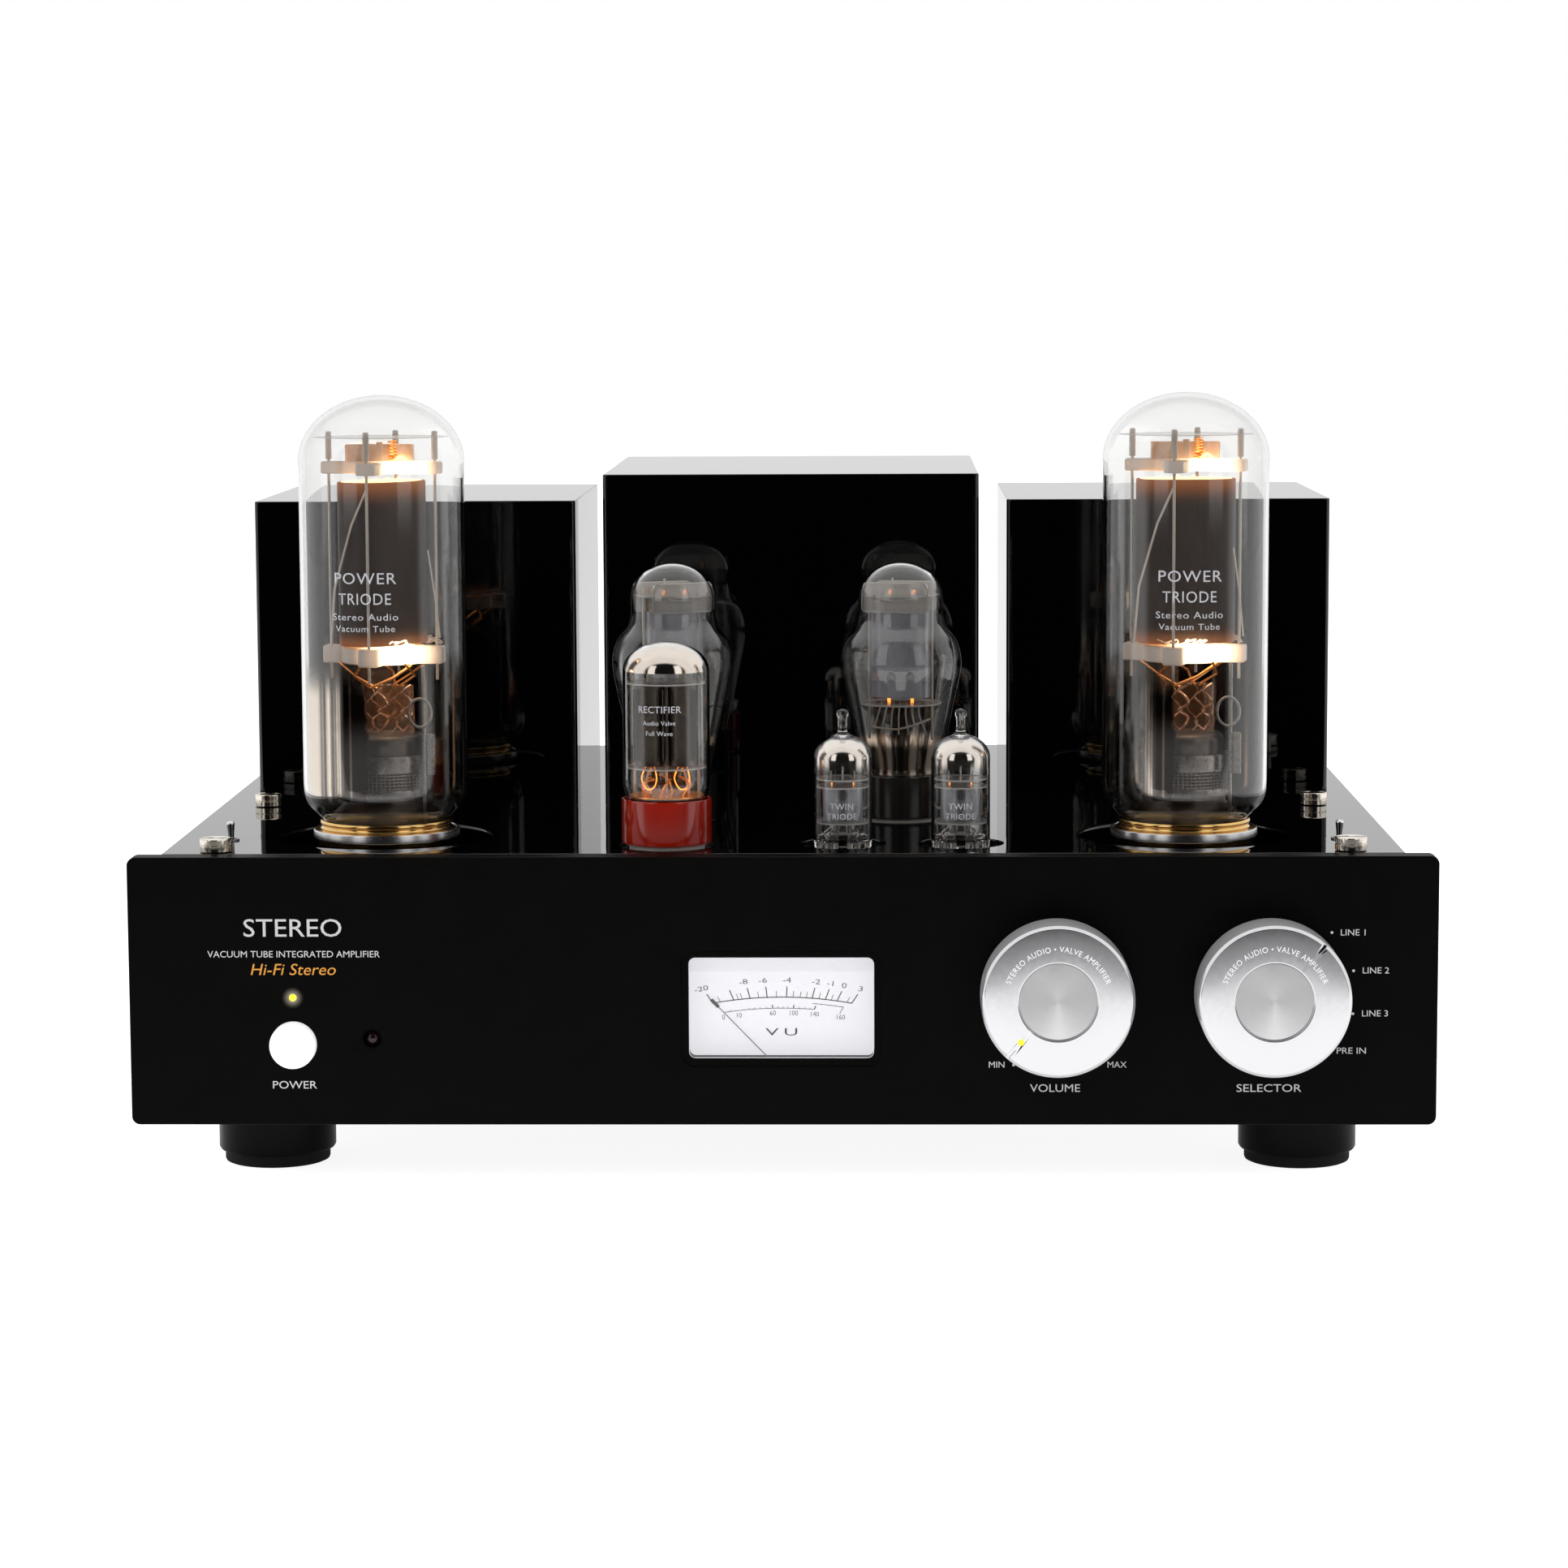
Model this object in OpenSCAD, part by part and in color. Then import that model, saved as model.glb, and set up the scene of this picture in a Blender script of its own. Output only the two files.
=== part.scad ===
// Valve integrated amplifier: two large power triodes, a rectifier, two driver and
// two input valves on a gloss deck, three transformer covers at the rear, and a thick
// front panel with a level meter, a volume knob and an input selector.
// +X is the listener's right, +Y the rear and +Z up. The origin is on the surface it
// stands on, under the middle of the outline. Places are given from the front panel's
// face (depth) and from the deck's top (height).

/* [Front panel] */
// Width of the front panel
panel_w = 465; // [450:1:480]
// Height of the front panel
panel_h = 96.4; // [94:0.2:100]
// Thickness of the front panel
panel_t = 9; // [8:0.5:9]
// Radius of the front panel's corners
panel_r = 3; // [1:0.5:5]
// Width of the meter window
window_w = 66; // [60:1:68]
// Height of the meter window
window_h = 36.4; // [34:0.2:38]
// Height of the window's middle from the deck's top
window_z = -54.4; // [-56:0.2:-53]
// Width of the bevelled step around the window
bezel_w = 2.6; // [2:0.1:3]
// Depth of the bevelled step
bezel_t = 1; // [0.5:0.1:1.5]

/* [Chassis] */
// Height of the deck's top above the surface it stands on
deck_z = 121.4; // [118:0.2:126]
// Width of the chassis
chassis_w = 443.4; // [436:0.2:446]
// Depth from the front panel's face to the rear panel's outer face
chassis_d = 362; // [358:1:372]
// Height of the chassis, from the deck's top to its underside
chassis_h = 95.4; // [95:0.1:96]
// Thickness of the deck plate
deck_t = 3; // [2.5:0.1:3.2]
// Thickness of the chassis sheet
sheet_t = 2; // [1.5:0.1:2]

/* [Feet] */
// Radius of a foot
foot_r = 21.6; // [20:0.1:23]
// Radius of a foot's pad
pad_r = 19.4; // [17:0.1:19.6]
// Height of a foot's pad
pad_h = 4.4; // [3:0.1:5]
// Feet from the middle, left and right
foot_x = 189.2; // [180:0.2:192]
// Depth of the front pair of feet
foot_front = 62; // [50:1:70]
// Depth of the rear pair of feet
foot_rear = 312; // [290:1:330]

/* [Transformer covers] */
// Depth of the covers' front faces
cover_front = 187.5; // [187:0.5:190]
// Inner edge of a side cover from the middle
side_cover_x = 85.2; // [84:0.2:88]
// Width of a side cover
side_cover_w = 127.2; // [124:0.2:128]
// Depth of a side cover
side_cover_d = 137.5; // [134:0.5:140]
// Height of a side cover
side_cover_h = 116.4; // [112:0.2:120]
// Width of the centre cover
center_cover_w = 148.6; // [144:0.2:150]
// Depth of the centre cover
center_cover_d = 169.5; // [160:0.5:170]
// Height of the centre cover
center_cover_h = 126.6; // [122:0.2:130]
// Radius of the covers' upright corners
cover_r = 2.5; // [1:0.5:4]
// Thickness of the covers' sheet
cover_t = 1.6; // [1.2:0.1:2]

/* [Power valves] */
// Power valves from the middle, left and right
power_x = 146.5; // [145:0.5:148]
// Depth of the power valves
power_d = 60; // [58:0.5:62]
// Radius of a power valve's glass
power_glass_r = 30.2; // [29:0.1:30.5]
// Height of a power valve above the deck
power_top = 161.7; // [155:0.1:165]
// Radius of a power valve's brass base
power_base_r = 24.3; // [23.5:0.1:24.3]
// Height of the base's rim above the deck
power_rim = 6.5; // [5:0.5:8]
// Radius of the well around a power valve
well_r = 38.5; // [36:0.5:39]
// Depth of the well below the deck
well_depth = 42; // [42:0.5:44]
// Radius of the collar around the socket
collar_r = 26.8; // [26.5:0.1:28]
// Height of the collar above the deck
collar_h = 3.2; // [3:0.1:4]

/* [Small valves] */
// Radius of an octal base
octal_base_r = 16.3; // [16:0.1:16.4]
// Height of an octal base's rim above the deck
octal_rim = 17.3; // [16:0.1:18]
// Rectifier from the middle
rectifier_x = -41.8; // [-43:0.2:-40]
// Depth of the rectifier
rectifier_d = 33; // [32:0.5:34]
// Radius of the rectifier's glass
rectifier_glass_r = 15.65; // [15:0.05:15.7]
// Height of the rectifier above the deck
rectifier_top = 73.8; // [70:0.2:76]
// Driver valves from the middle, left and right
driver_x = 43; // [42:0.2:44]
// Depth of the driver valves
driver_d = 110; // [106:1:114]
// Largest radius of a driver valve's glass
driver_glass_r = 22.9; // [22:0.1:23]
// Height of a driver valve above the deck
driver_top = 97; // [94:0.5:99]
// Input valves: how far each stands from the middle of their pair
input_spread = 21.3; // [20:0.1:22]
// Depth of the input valves
input_d = 37; // [36:0.5:38]
// Radius of an input valve's glass
input_glass_r = 10.65; // [10.3:0.05:11]
// Height of an input valve's tip above the deck
input_top = 48.9; // [46:0.1:50]

/* [Controls] */
// Height of the knobs' and the meter's line from the deck's top
knob_z = -48.8; // [-50:0.1:-48]
// Volume knob from the middle
volume_x = 97.5; // [96:0.5:99]
// Selector knob from the middle
selector_x = 173.2; // [172:0.2:175]
// Radius of a knob
knob_r = 27; // [25:0.5:28]
// How far a knob's face stands out from the panel
knob_out = 20; // [18:0.5:22]
// Power button, lamp and receiver eye from the middle
power_button_x = -174; // [-175:0.5:-173]
// Height of the power button from the deck's top
power_button_z = -67.3; // [-68:0.1:-66]
// Radius of the power button
power_button_r = 8.25; // [8:0.05:8.5]
// How far the power button stands out
power_button_out = 4; // [3.5:0.1:5]
// Travel of the power button
power_button_travel = 3; // [2:0.5:3]
// Angle of the volume knob's mark from the top, clockwise
volume_angle = -137.5; // [-150:0.5:150]
// Angle of the selector knob's mark from the top, clockwise
selector_angle = 41; // [41:1:135]
// Angle of the meter's needle from the top, clockwise
needle_angle = -44; // [-44:1:44]

/* [Hidden] */
$fn = 64;

// How far the sockets on the rear panel stand out
rear_out = 25;
// Depth of the outline's middle, which lies over the origin
middle_d = (chassis_d + rear_out - knob_out) / 2;
// Radial clearance of a running fit
fit = 0.08;
// Clearance between fixed pieces
gap = 0.1;
// Reach of a cutting tool past the piece it cuts
cut = 1;
// Height of the chassis floor's top from the deck's top
floor_z = -chassis_h + sheet_t;
input_x = [driver_x - input_spread, driver_x + input_spread];
small_hole_r = input_glass_r + 4.7;
octal_hole_r = octal_base_r + 0.4;
socket_r = 13.65;
socket_top = 0.8;
noval_top = -2.2;
knob_shaft_r = 3;
// The lamp sits this far under the knobs' line, straight above the power button.
lamp_drop = 1.6;
eye_x = power_button_x + 28;
eye_z = knob_z - 16.7;
eye_r = 3;
knob_gap = 1;
needle_pivot_z = window_z - window_h / 2 - 6.4;
needle_length = 36.6;
pot_d = 14;
switch_d = 106;
case_w = window_w + 8;
case_top = window_z + window_h / 2 + 4;
case_bottom = needle_pivot_z - 6;
case_d = 26;
trim_x = 203;
trim_front_d = 16.4;
trim_rear_d = 148;
trim_front_r = 5.7;
trim_rear_r = 5.05;
trim_h = 4.9;
toggle_x = 202;
toggle_d = 47;
toggle_lean = 10;
toggle_pivot = -2;
toggle_out = 7.2;
terminal_x = [130, 150, 170, 190];
terminal_z = -38;
jack_x = [-52, -30, -8, 14];
jack_z = [-34, -56];
inlet_x = -170;
inlet_z = -70;
board_w = 190;
board_d = 120;
board_front = 62;
board_h = 8;

// Places its children at a width, a depth behind the panel's face and a height
// above the deck's top.
module at(x, d, z) {
    translate([x, d - middle_d, deck_z + z]) children();
}

// A cylinder along the depth, starting at the front.
module along_depth(r, h) {
    rotate([-90, 0, 0]) cylinder(r = r, h = h);
}

// Two mirrored copies, left and right of the middle.
module both_sides() {
    for (side = [0, 1]) mirror([side, 0, 0]) children();
}

// A rectangle around its middle with round corners.
module rounded_rect(w, h, r) {
    square([w - 2 * r, h], center = true);
    square([w, h - 2 * r], center = true);
    for (x = [-1, 1], y = [-1, 1])
        translate([x * (w / 2 - r), y * (h / 2 - r)]) circle(r);
}

// An upright plate facing the front, as thick as t, with its middle at the origin.
module face_plate(w, h, r, t) {
    rotate([-90, 0, 0]) linear_extrude(t) rounded_rect(w, h, r);
}

// A box around a middle in width, from a front depth and from a lower height.
module block(w, d, h) {
    translate([-w / 2, 0, 0]) cube([w, d, h]);
}

module front_panel() {
    color("#141212") difference() {
        at(0, 0, -panel_h / 2) face_plate(panel_w, panel_h, panel_r, panel_t);
        at(0, -cut, window_z) face_plate(window_w, window_h, 3, panel_t + 2 * cut);
        at(0, -cut, window_z)
            face_plate(window_w + 2 * bezel_w, window_h + 2 * bezel_w, 4, bezel_t + cut);
        at(power_button_x, -cut, power_button_z)
            along_depth(power_button_r + fit, panel_t + 2 * cut);
        at(power_button_x, -cut, knob_z - lamp_drop) along_depth(1.35, panel_t + 2 * cut);
        at(eye_x, -cut, eye_z) along_depth(eye_r, panel_t + 2 * cut);
        for (x = [volume_x, selector_x])
            at(x, -cut, knob_z) along_depth(knob_shaft_r + 1, panel_t + 2 * cut);
    }
}

// Everything that passes through the deck.
module deck_holes() {
    for (side = [-1, 1]) {
        at(side * power_x, power_d, -deck_t - cut) cylinder(r = well_r, h = deck_t + 2 * cut);
        at(side * driver_x, driver_d, -deck_t - cut)
            cylinder(r = octal_hole_r, h = deck_t + 2 * cut);
        at(side * trim_x, trim_front_d, -deck_t - cut)
            cylinder(r = 1.6, h = deck_t + 2 * cut);
        at(side * trim_x, trim_rear_d, -deck_t - cut)
            cylinder(r = 1.6, h = deck_t + 2 * cut);
        at(side * toggle_x, toggle_d, -deck_t - cut)
            cylinder(r = 3, h = deck_t + 2 * cut);
    }
    at(rectifier_x, rectifier_d, -deck_t - cut)
        cylinder(r = octal_hole_r, h = deck_t + 2 * cut);
    for (x = input_x)
        at(x, input_d, -deck_t - cut) cylinder(r = small_hole_r, h = deck_t + 2 * cut);
}

module deck_plate() {
    color("#0b0b0c") {
        difference() {
            at(0, panel_t, -deck_t) block(chassis_w, chassis_d - panel_t, deck_t);
            deck_holes();
        }
        // The wells hang from the deck as drawn cups.
        for (side = [-1, 1]) at(side * power_x, power_d, -well_depth - sheet_t)
            difference() {
                cylinder(r = well_r + sheet_t, h = well_depth + sheet_t - deck_t);
                translate([0, 0, sheet_t]) cylinder(r = well_r, h = well_depth);
                translate([0, 0, -cut]) cylinder(r = 20, h = sheet_t + 2 * cut);
            }
    }
}

// The sides and the inner front of the chassis, one bent sheet.
module chassis_frame() {
    wall_h = chassis_h - deck_t - sheet_t;
    color("#0e0e0f") difference() {
        at(0, panel_t, floor_z) block(chassis_w, chassis_d - panel_t - sheet_t, wall_h);
        at(0, panel_t + sheet_t, floor_z - cut)
            block(chassis_w - 2 * sheet_t, chassis_d, wall_h + 2 * cut);
        at(0, panel_t - cut, case_bottom - gap)
            block(case_w + 2 * gap, sheet_t + 2 * cut, case_top - case_bottom + 2 * gap);
        for (x = [volume_x, selector_x])
            at(x, 0, knob_z) along_depth(knob_shaft_r + 1, panel_t + sheet_t + cut);
        at(power_button_x, 0, power_button_z)
            along_depth(power_button_r + 1, panel_t + sheet_t + cut);
        at(power_button_x, 0, knob_z - lamp_drop) along_depth(2.6, panel_t + sheet_t + cut);
        at(eye_x, 0, eye_z) along_depth(eye_r + 1, panel_t + sheet_t + cut);
    }
}

module rear_panel() {
    through = sheet_t + 2 * cut;
    start = chassis_d - sheet_t - cut;
    color("#101011") difference() {
        at(0, chassis_d - sheet_t, floor_z)
            block(chassis_w, sheet_t, chassis_h - deck_t - sheet_t);
        both_sides() for (x = terminal_x) at(x, start, terminal_z) along_depth(5, through);
        for (x = jack_x, z = jack_z) at(x, start, z) along_depth(4.2, through);
        at(inlet_x, start, inlet_z - 10.5) block(28.2, through, 21);
    }
}

module bottom_plate() {
    color("#121212") {
        difference() {
            at(0, panel_t, -chassis_h) block(chassis_w, chassis_d - panel_t, sheet_t);
            foot_places() translate([0, 0, -cut]) cylinder(r = 2.2, h = sheet_t + 2 * cut);
        }
        // Pressed studs that carry the circuit board.
        for (x = [-1, 1], y = [6, board_d - 6])
            at(x * (board_w / 2 - 6), board_front + y, floor_z) cylinder(r = 3, h = board_h);
    }
}

// Places its children at the four feet, at the chassis's underside.
module foot_places() {
    for (x = [-foot_x, foot_x], d = [foot_front, foot_rear]) at(x, d, -chassis_h) children();
}

module feet() {
    foot_h = deck_z - chassis_h - pad_h;
    color("#16100e") foot_places() translate([0, 0, -foot_h]) difference() {
        rotate_extrude() polygon([[0, 0], [foot_r - 1.2, 0], [foot_r, 1.2], [foot_r, foot_h],
            [0, foot_h]]);
        translate([0, 0, -cut]) cylinder(r = 2.1, h = foot_h + 2 * cut);
        translate([0, 0, -cut]) cylinder(r = 5, h = 5 + cut);
    }
}

module foot_pads() {
    color("#0a0a0a") foot_places() translate([0, 0, chassis_h - deck_z]) difference() {
        rotate_extrude() polygon([[0, 0], [pad_r - 0.8, 0], [pad_r, 0.8], [pad_r, pad_h],
            [0, pad_h]]);
        translate([0, 0, -cut]) cylinder(r = 5, h = pad_h + 2 * cut);
    }
}

module foot_screws() {
    head = 3;
    shank = deck_z - chassis_h - pad_h - 5 + sheet_t + 2;
    color("#8d8f92") foot_places() translate([0, 0, sheet_t + 2]) mirror([0, 0, 1]) {
        cylinder(r = 2, h = shank);
        translate([0, 0, shank]) difference() {
            cylinder(r = 4, h = head);
            translate([-4.5, -0.5, head - 1]) cube([9, 1, 1 + cut]);
        }
    }
}

// An open-bottomed cover with round upright corners, standing on the deck.
module cover(w, d, h) {
    translate([0, d / 2, 0]) difference() {
        linear_extrude(h) rounded_rect(w, d, cover_r);
        translate([0, 0, -cut]) linear_extrude(h - cover_t + cut)
            rounded_rect(w - 2 * cover_t, d - 2 * cover_t, cover_r - cover_t / 2);
    }
}

module side_cover(side) {
    color("#060606") at(side * (side_cover_x + side_cover_w / 2), cover_front, 0)
        cover(side_cover_w, side_cover_d, side_cover_h);
}

module left_transformer_cover() { side_cover(-1); }

module right_transformer_cover() { side_cover(1); }

module center_transformer_cover() {
    color("#060606") at(0, cover_front, 0)
        cover(center_cover_w, center_cover_d, center_cover_h);
}

// A stack of laminations with two windows, around its middle, standing at height 0.
module core(w, t, h) {
    limb = w / 6;
    difference() {
        translate([-w / 2, -t / 2, 0]) cube([w, t, h]);
        for (x = [-w / 2 + limb, limb])
            translate([x, -t / 2 - cut, limb])
                cube([w / 2 - 2 * limb, t + 2 * cut, h - 2 * limb]);
    }
}

// The winding on a core's middle limb, which fills its windows.
module coil(w, t, h) {
    limb = w / 6;
    wrap = w / 2 - 2 * limb - 2 * gap;
    side = 2 * (limb + gap + wrap);
    translate([0, 0, limb + gap]) difference() {
        translate([-side / 2, -t / 2 - wrap, 0]) cube([side, t + 2 * wrap, h - 2 * limb - 2 * gap]);
        translate([-limb - gap, -t / 2 - gap, -cut])
            cube([2 * (limb + gap), t + 2 * gap, h + 2 * cut]);
    }
}

// Places its children at the three transformers, with their sizes in $core.
module transformer_places() {
    side_x = side_cover_x + side_cover_w / 2;
    side_d = cover_front + side_cover_d / 2;
    for (side = [-1, 1]) at(side * side_x, side_d, 0) {
        $core = [96, 48, 84];
        children();
    }
    at(0, cover_front + center_cover_d / 2, 0) {
        $core = [126, 64, 108];
        children();
    }
}

module transformer_cores() {
    color("#55585c") transformer_places() core($core[0], $core[1], $core[2]);
}

module transformer_coils() {
    color("#b5622c") transformer_places() coil($core[0], $core[1], $core[2]);
}

module filter_choke() {
    color("#4d5054") at(0, 262, floor_z) {
        block(66, 34, 56);
        translate([0, -11, 12]) block(40, 56, 32);
    }
}

module circuit_board() {
    color("#1f5a35") difference() {
        at(0, board_front, floor_z + board_h) block(board_w, board_d, 1.6);
        for (x = [-1, 1], y = [6, board_d - 6])
            at(x * (board_w / 2 - 6), board_front + y, floor_z) cylinder(r = 1.5, h = 20);
    }
}

module filter_capacitors() {
    color("#1c2c66") for (x = [-75, -37.5, 0, 37.5, 75])
        at(x, board_front + 96, floor_z + board_h + 1.6) {
            cylinder(r = 15, h = 44);
            translate([0, 0, 44]) cylinder(r = 13.5, h = 1);
        }
}

// Places its children at the four power valve pins, which stand on a square.
module power_pin_places() {
    for (x = [-9.5, 9.5], y = [-9.5, 9.5]) translate([x, y, 0]) children();
}

module power_valve_sockets() {
    color("#e9e4d6") for (side = [-1, 1]) at(side * power_x, power_d, -well_depth)
        difference() {
            cylinder(r = 32, h = 14);
            power_pin_places() translate([0, 0, -cut]) cylinder(r = 2.4 + fit, h = 14 + 2 * cut);
        }
}

module power_socket_shells() {
    bottom = -well_depth + 14;
    color("#c79a3c") for (side = [-1, 1]) at(side * power_x, power_d, bottom) difference() {
        cylinder(r = power_base_r + 1, h = collar_h - bottom);
        translate([0, 0, -cut]) cylinder(r = power_base_r + fit, h = collar_h - bottom + 2 * cut);
    }
}

module power_socket_collars() {
    color("#b9bcc0") for (side = [-1, 1]) at(side * power_x, power_d, 0) rotate_extrude()
        polygon([[power_base_r + 1.05, 0], [collar_r, 0], [collar_r, collar_h - 0.6],
            [collar_r - 0.6, collar_h], [power_base_r + 1.05, collar_h]]);
}

// Places its children on a pin circle.
module pin_circle(r, places, first) {
    for (i = [first : places - 1]) rotate([0, 0, i * 360 / places]) translate([r, 0, 0])
        children();
}

octal_pin_circle = 8.73;
octal_pin_r = 1.2;
octal_key_r = 3.9;
noval_pin_circle = 5.95;
noval_pin_r = 0.52;

module octal_places() {
    at(rectifier_x, rectifier_d, socket_top) children();
    for (side = [-1, 1]) at(side * driver_x, driver_d, socket_top) children();
}

module octal_sockets() {
    color("#ece8dc") octal_places() difference() {
        union() {
            translate([0, 0, -14]) cylinder(r = socket_r, h = 14);
            translate([0, 0, -socket_top - deck_t - 2]) cylinder(r = octal_hole_r + 4, h = 2);
        }
        translate([0, 0, -15]) {
            pin_circle(octal_pin_circle, 8, 0) cylinder(r = octal_pin_r + fit, h = 16);
            cylinder(r = octal_key_r + fit, h = 16);
        }
    }
}

module noval_sockets() {
    color("#1a1a1a") for (x = input_x) at(x, input_d, noval_top) difference() {
        union() {
            translate([0, 0, -11.8]) cylinder(r = 11, h = 11.8);
            translate([0, 0, -noval_top - deck_t - 2]) cylinder(r = small_hole_r + 4, h = 2);
        }
        translate([0, 0, -13]) {
            pin_circle(noval_pin_circle, 10, 1) cylinder(r = noval_pin_r + fit, h = 14, $fn = 24);
            cylinder(r = 2.4, h = 14);
        }
    }
}

module power_switch() {
    color("#202020") difference() {
        at(power_button_x, 16, power_button_z - 8) block(18, 28, 16);
        at(power_button_x, 16 - cut, power_button_z) along_depth(3 + fit, 12 + cut);
    }
}

module power_led() {
    color("#ffd21e") at(power_button_x, 0, knob_z - lamp_drop) {
        translate([0, -0.3, 0]) along_depth(1.3, panel_t + 1);
        translate([0, panel_t, 0]) along_depth(2, 3);
    }
}

module ir_receiver() {
    color("#1d0b10") at(eye_x, 1.6, eye_z) {
        along_depth(eye_r - 0.05, panel_t + 0.4);
        translate([0, panel_t + 0.4, -4]) block(8, 4, 8);
    }
}

module meter_case() {
    h = case_top - case_bottom;
    color("#161616") difference() {
        at(0, panel_t, case_bottom) block(case_w, case_d, h);
        at(0, panel_t - cut, case_bottom + sheet_t)
            block(case_w - 2 * sheet_t, case_d - sheet_t + cut, h - 2 * sheet_t);
    }
    // The boss that carries the needle's bearing.
    color("#161616") at(0, 0, needle_pivot_z) difference() {
        translate([0, panel_t + 4.2, 0]) along_depth(3.4, case_d - sheet_t - 4);
        translate([0, panel_t, 0]) along_depth(0.8 + fit, 12);
    }
}

module meter_dial() {
    h = case_top - case_bottom - 2 * sheet_t - 2 * gap;
    color("#f4edd2") difference() {
        at(0, panel_t + 3, case_bottom + sheet_t + gap)
            block(case_w - 2 * sheet_t - 2 * gap, 1, h);
        at(0, panel_t + 2, needle_pivot_z) along_depth(1.2, 4);
    }
}

module meter_lens() {
    color("#dfe8ee") at(0, bezel_t + 0.4, window_z)
        face_plate(window_w - 2 * gap, window_h - 2 * gap, 2.9, 2);
}

module meter_needle() {
    color("#1a1a1a") at(0, panel_t + 1.2, needle_pivot_z) {
        rotate([0, needle_angle, 0]) translate([-0.35, 0.3, 0]) cube([0.7, 0.5, needle_length]);
        along_depth(2.6, 1.2);
        along_depth(0.8, 10);
    }
}

// A knob around its axis, from the panel to its face, with a bore for its shaft.
module knob(angle) {
    length = knob_out - knob_gap;
    rotate([0, angle, 0]) difference() {
        rotate([90, 0, 0]) rotate_extrude() polygon([[0, knob_gap], [knob_r - 0.6, knob_gap],
            [knob_r, knob_gap + 0.6], [knob_r, knob_out - 1.2], [knob_r - 1.2, knob_out],
            [0, knob_out]]);
        translate([0, -knob_out - cut, 0]) along_depth(13.75, 1.3 + cut);
        translate([0, -knob_out + 6, 0]) along_depth(knob_shaft_r, length);
        // The mark, a groove that runs out to the rim.
        translate([-0.7, -knob_out - cut, knob_r * 0.84]) cube([1.4, 0.8 + cut, knob_r * 0.3]);
    }
}

module knob_shaft(reach) {
    color("#a8abae") translate([0, -knob_out + 6, 0])
        along_depth(knob_shaft_r, knob_out - 6 + reach);
}

module volume_knob() {
    color("#b3b5b8") at(volume_x, 0, knob_z) knob(volume_angle);
}

module volume_shaft() { at(volume_x, 0, knob_z) knob_shaft(pot_d + 12); }

module selector_knob() {
    color("#b3b5b8") at(selector_x, 0, knob_z) knob(selector_angle);
}

module selector_shaft() { at(selector_x, 0, knob_z) knob_shaft(switch_d + 16); }

// The volume control sits right behind the chassis front, on its threaded nose.
module volume_pot() {
    color("#3a3c3f") at(volume_x, 0, knob_z) difference() {
        union() {
            translate([0, pot_d, -14]) block(28, 24, 28);
            translate([0, panel_t + sheet_t, 0]) along_depth(5, pot_d - panel_t);
        }
        translate([0, panel_t, 0]) along_depth(knob_shaft_r + fit, pot_d - panel_t + 14);
    }
}

// The selector's switch stands on the floor behind the power valve's well, near the
// rear panel's jacks, and a long shaft reaches it under the well.
module selector_switch() {
    color("#7c6a45") at(selector_x, 0, knob_z) difference() {
        union() {
            translate([0, switch_d, -16]) block(34, 30, 32);
            translate([0, switch_d, floor_z - knob_z]) block(40, 3, 12 - floor_z + knob_z);
        }
        translate([0, switch_d - cut, 0]) along_depth(knob_shaft_r + fit, 19 + cut);
    }
}

module trim_places() {
    for (side = [-1, 1], d = [trim_front_d, trim_rear_d]) at(side * trim_x, d, 0) children();
}

module trim_pots() {
    color("#2a4aa0") trim_places() difference() {
        translate([0, -4.6, -deck_t - 8]) block(9.2, 9.2, 8);
        translate([0, 0, -deck_t - 7]) cylinder(r = 1.5 + fit, h = 8, $fn = 32);
    }
}

// A slotted cap and the spindle under it.
module trim_cap(x, d, r) {
    color("#d8d4c8") at(x, d, 0) {
        difference() {
            rotate_extrude() polygon([[0, 0.2], [r, 0.2], [r, trim_h - 0.4], [r - 0.4, trim_h],
                [0, trim_h]]);
            translate([-r - cut, -0.5, trim_h - 1]) cube([2 * (r + cut), 1, 1 + cut]);
        }
        translate([0, 0, -deck_t - 6]) cylinder(r = 1.5, h = deck_t + 6.5, $fn = 32);
    }
}

module left_front_trim_cap() { trim_cap(-trim_x, trim_front_d, trim_front_r); }

module right_front_trim_cap() { trim_cap(trim_x, trim_front_d, trim_front_r); }

module left_rear_trim_cap() { trim_cap(-trim_x, trim_rear_d, trim_rear_r); }

module right_rear_trim_cap() { trim_cap(trim_x, trim_rear_d, trim_rear_r); }

module toggle_switches() {
    color("#1a1a1a") for (side = [-1, 1]) at(side * toggle_x, toggle_d, 0) difference() {
        union() {
            translate([0, 0, -deck_t - 1]) cylinder(r = 2.9, h = deck_t + 1.6);
            translate([0, -6, -deck_t - 10]) block(8, 12, 10);
        }
        translate([0, 0, toggle_pivot - 3]) cylinder(r = 2.1, h = 8);
    }
}

module toggle_lever(side) {
    color("#e6e2d8") at(side * toggle_x, toggle_d, toggle_pivot) rotate([toggle_lean, 0, 0]) {
        cylinder(r = 1.5, h = toggle_out - toggle_pivot - 1.5, $fn = 32);
        translate([0, 0, toggle_out - toggle_pivot - 1.5]) sphere(r = 1.5, $fn = 32);
        sphere(r = 1.95, $fn = 32);
    }
}

module left_toggle_lever() { toggle_lever(-1); }

module right_toggle_lever() { toggle_lever(1); }

module speaker_sockets() {
    color("#8a1a16") both_sides() for (x = terminal_x) at(x, chassis_d, terminal_z) difference() {
        union() {
            translate([0, -18, 0]) along_depth(4.9, 18 + rear_out);
            along_depth(7.5, 4);
            translate([0, 8, 0]) along_depth(7, rear_out - 9);
        }
        translate([0, 4, 0]) along_depth(2.05, rear_out);
    }
}

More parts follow.
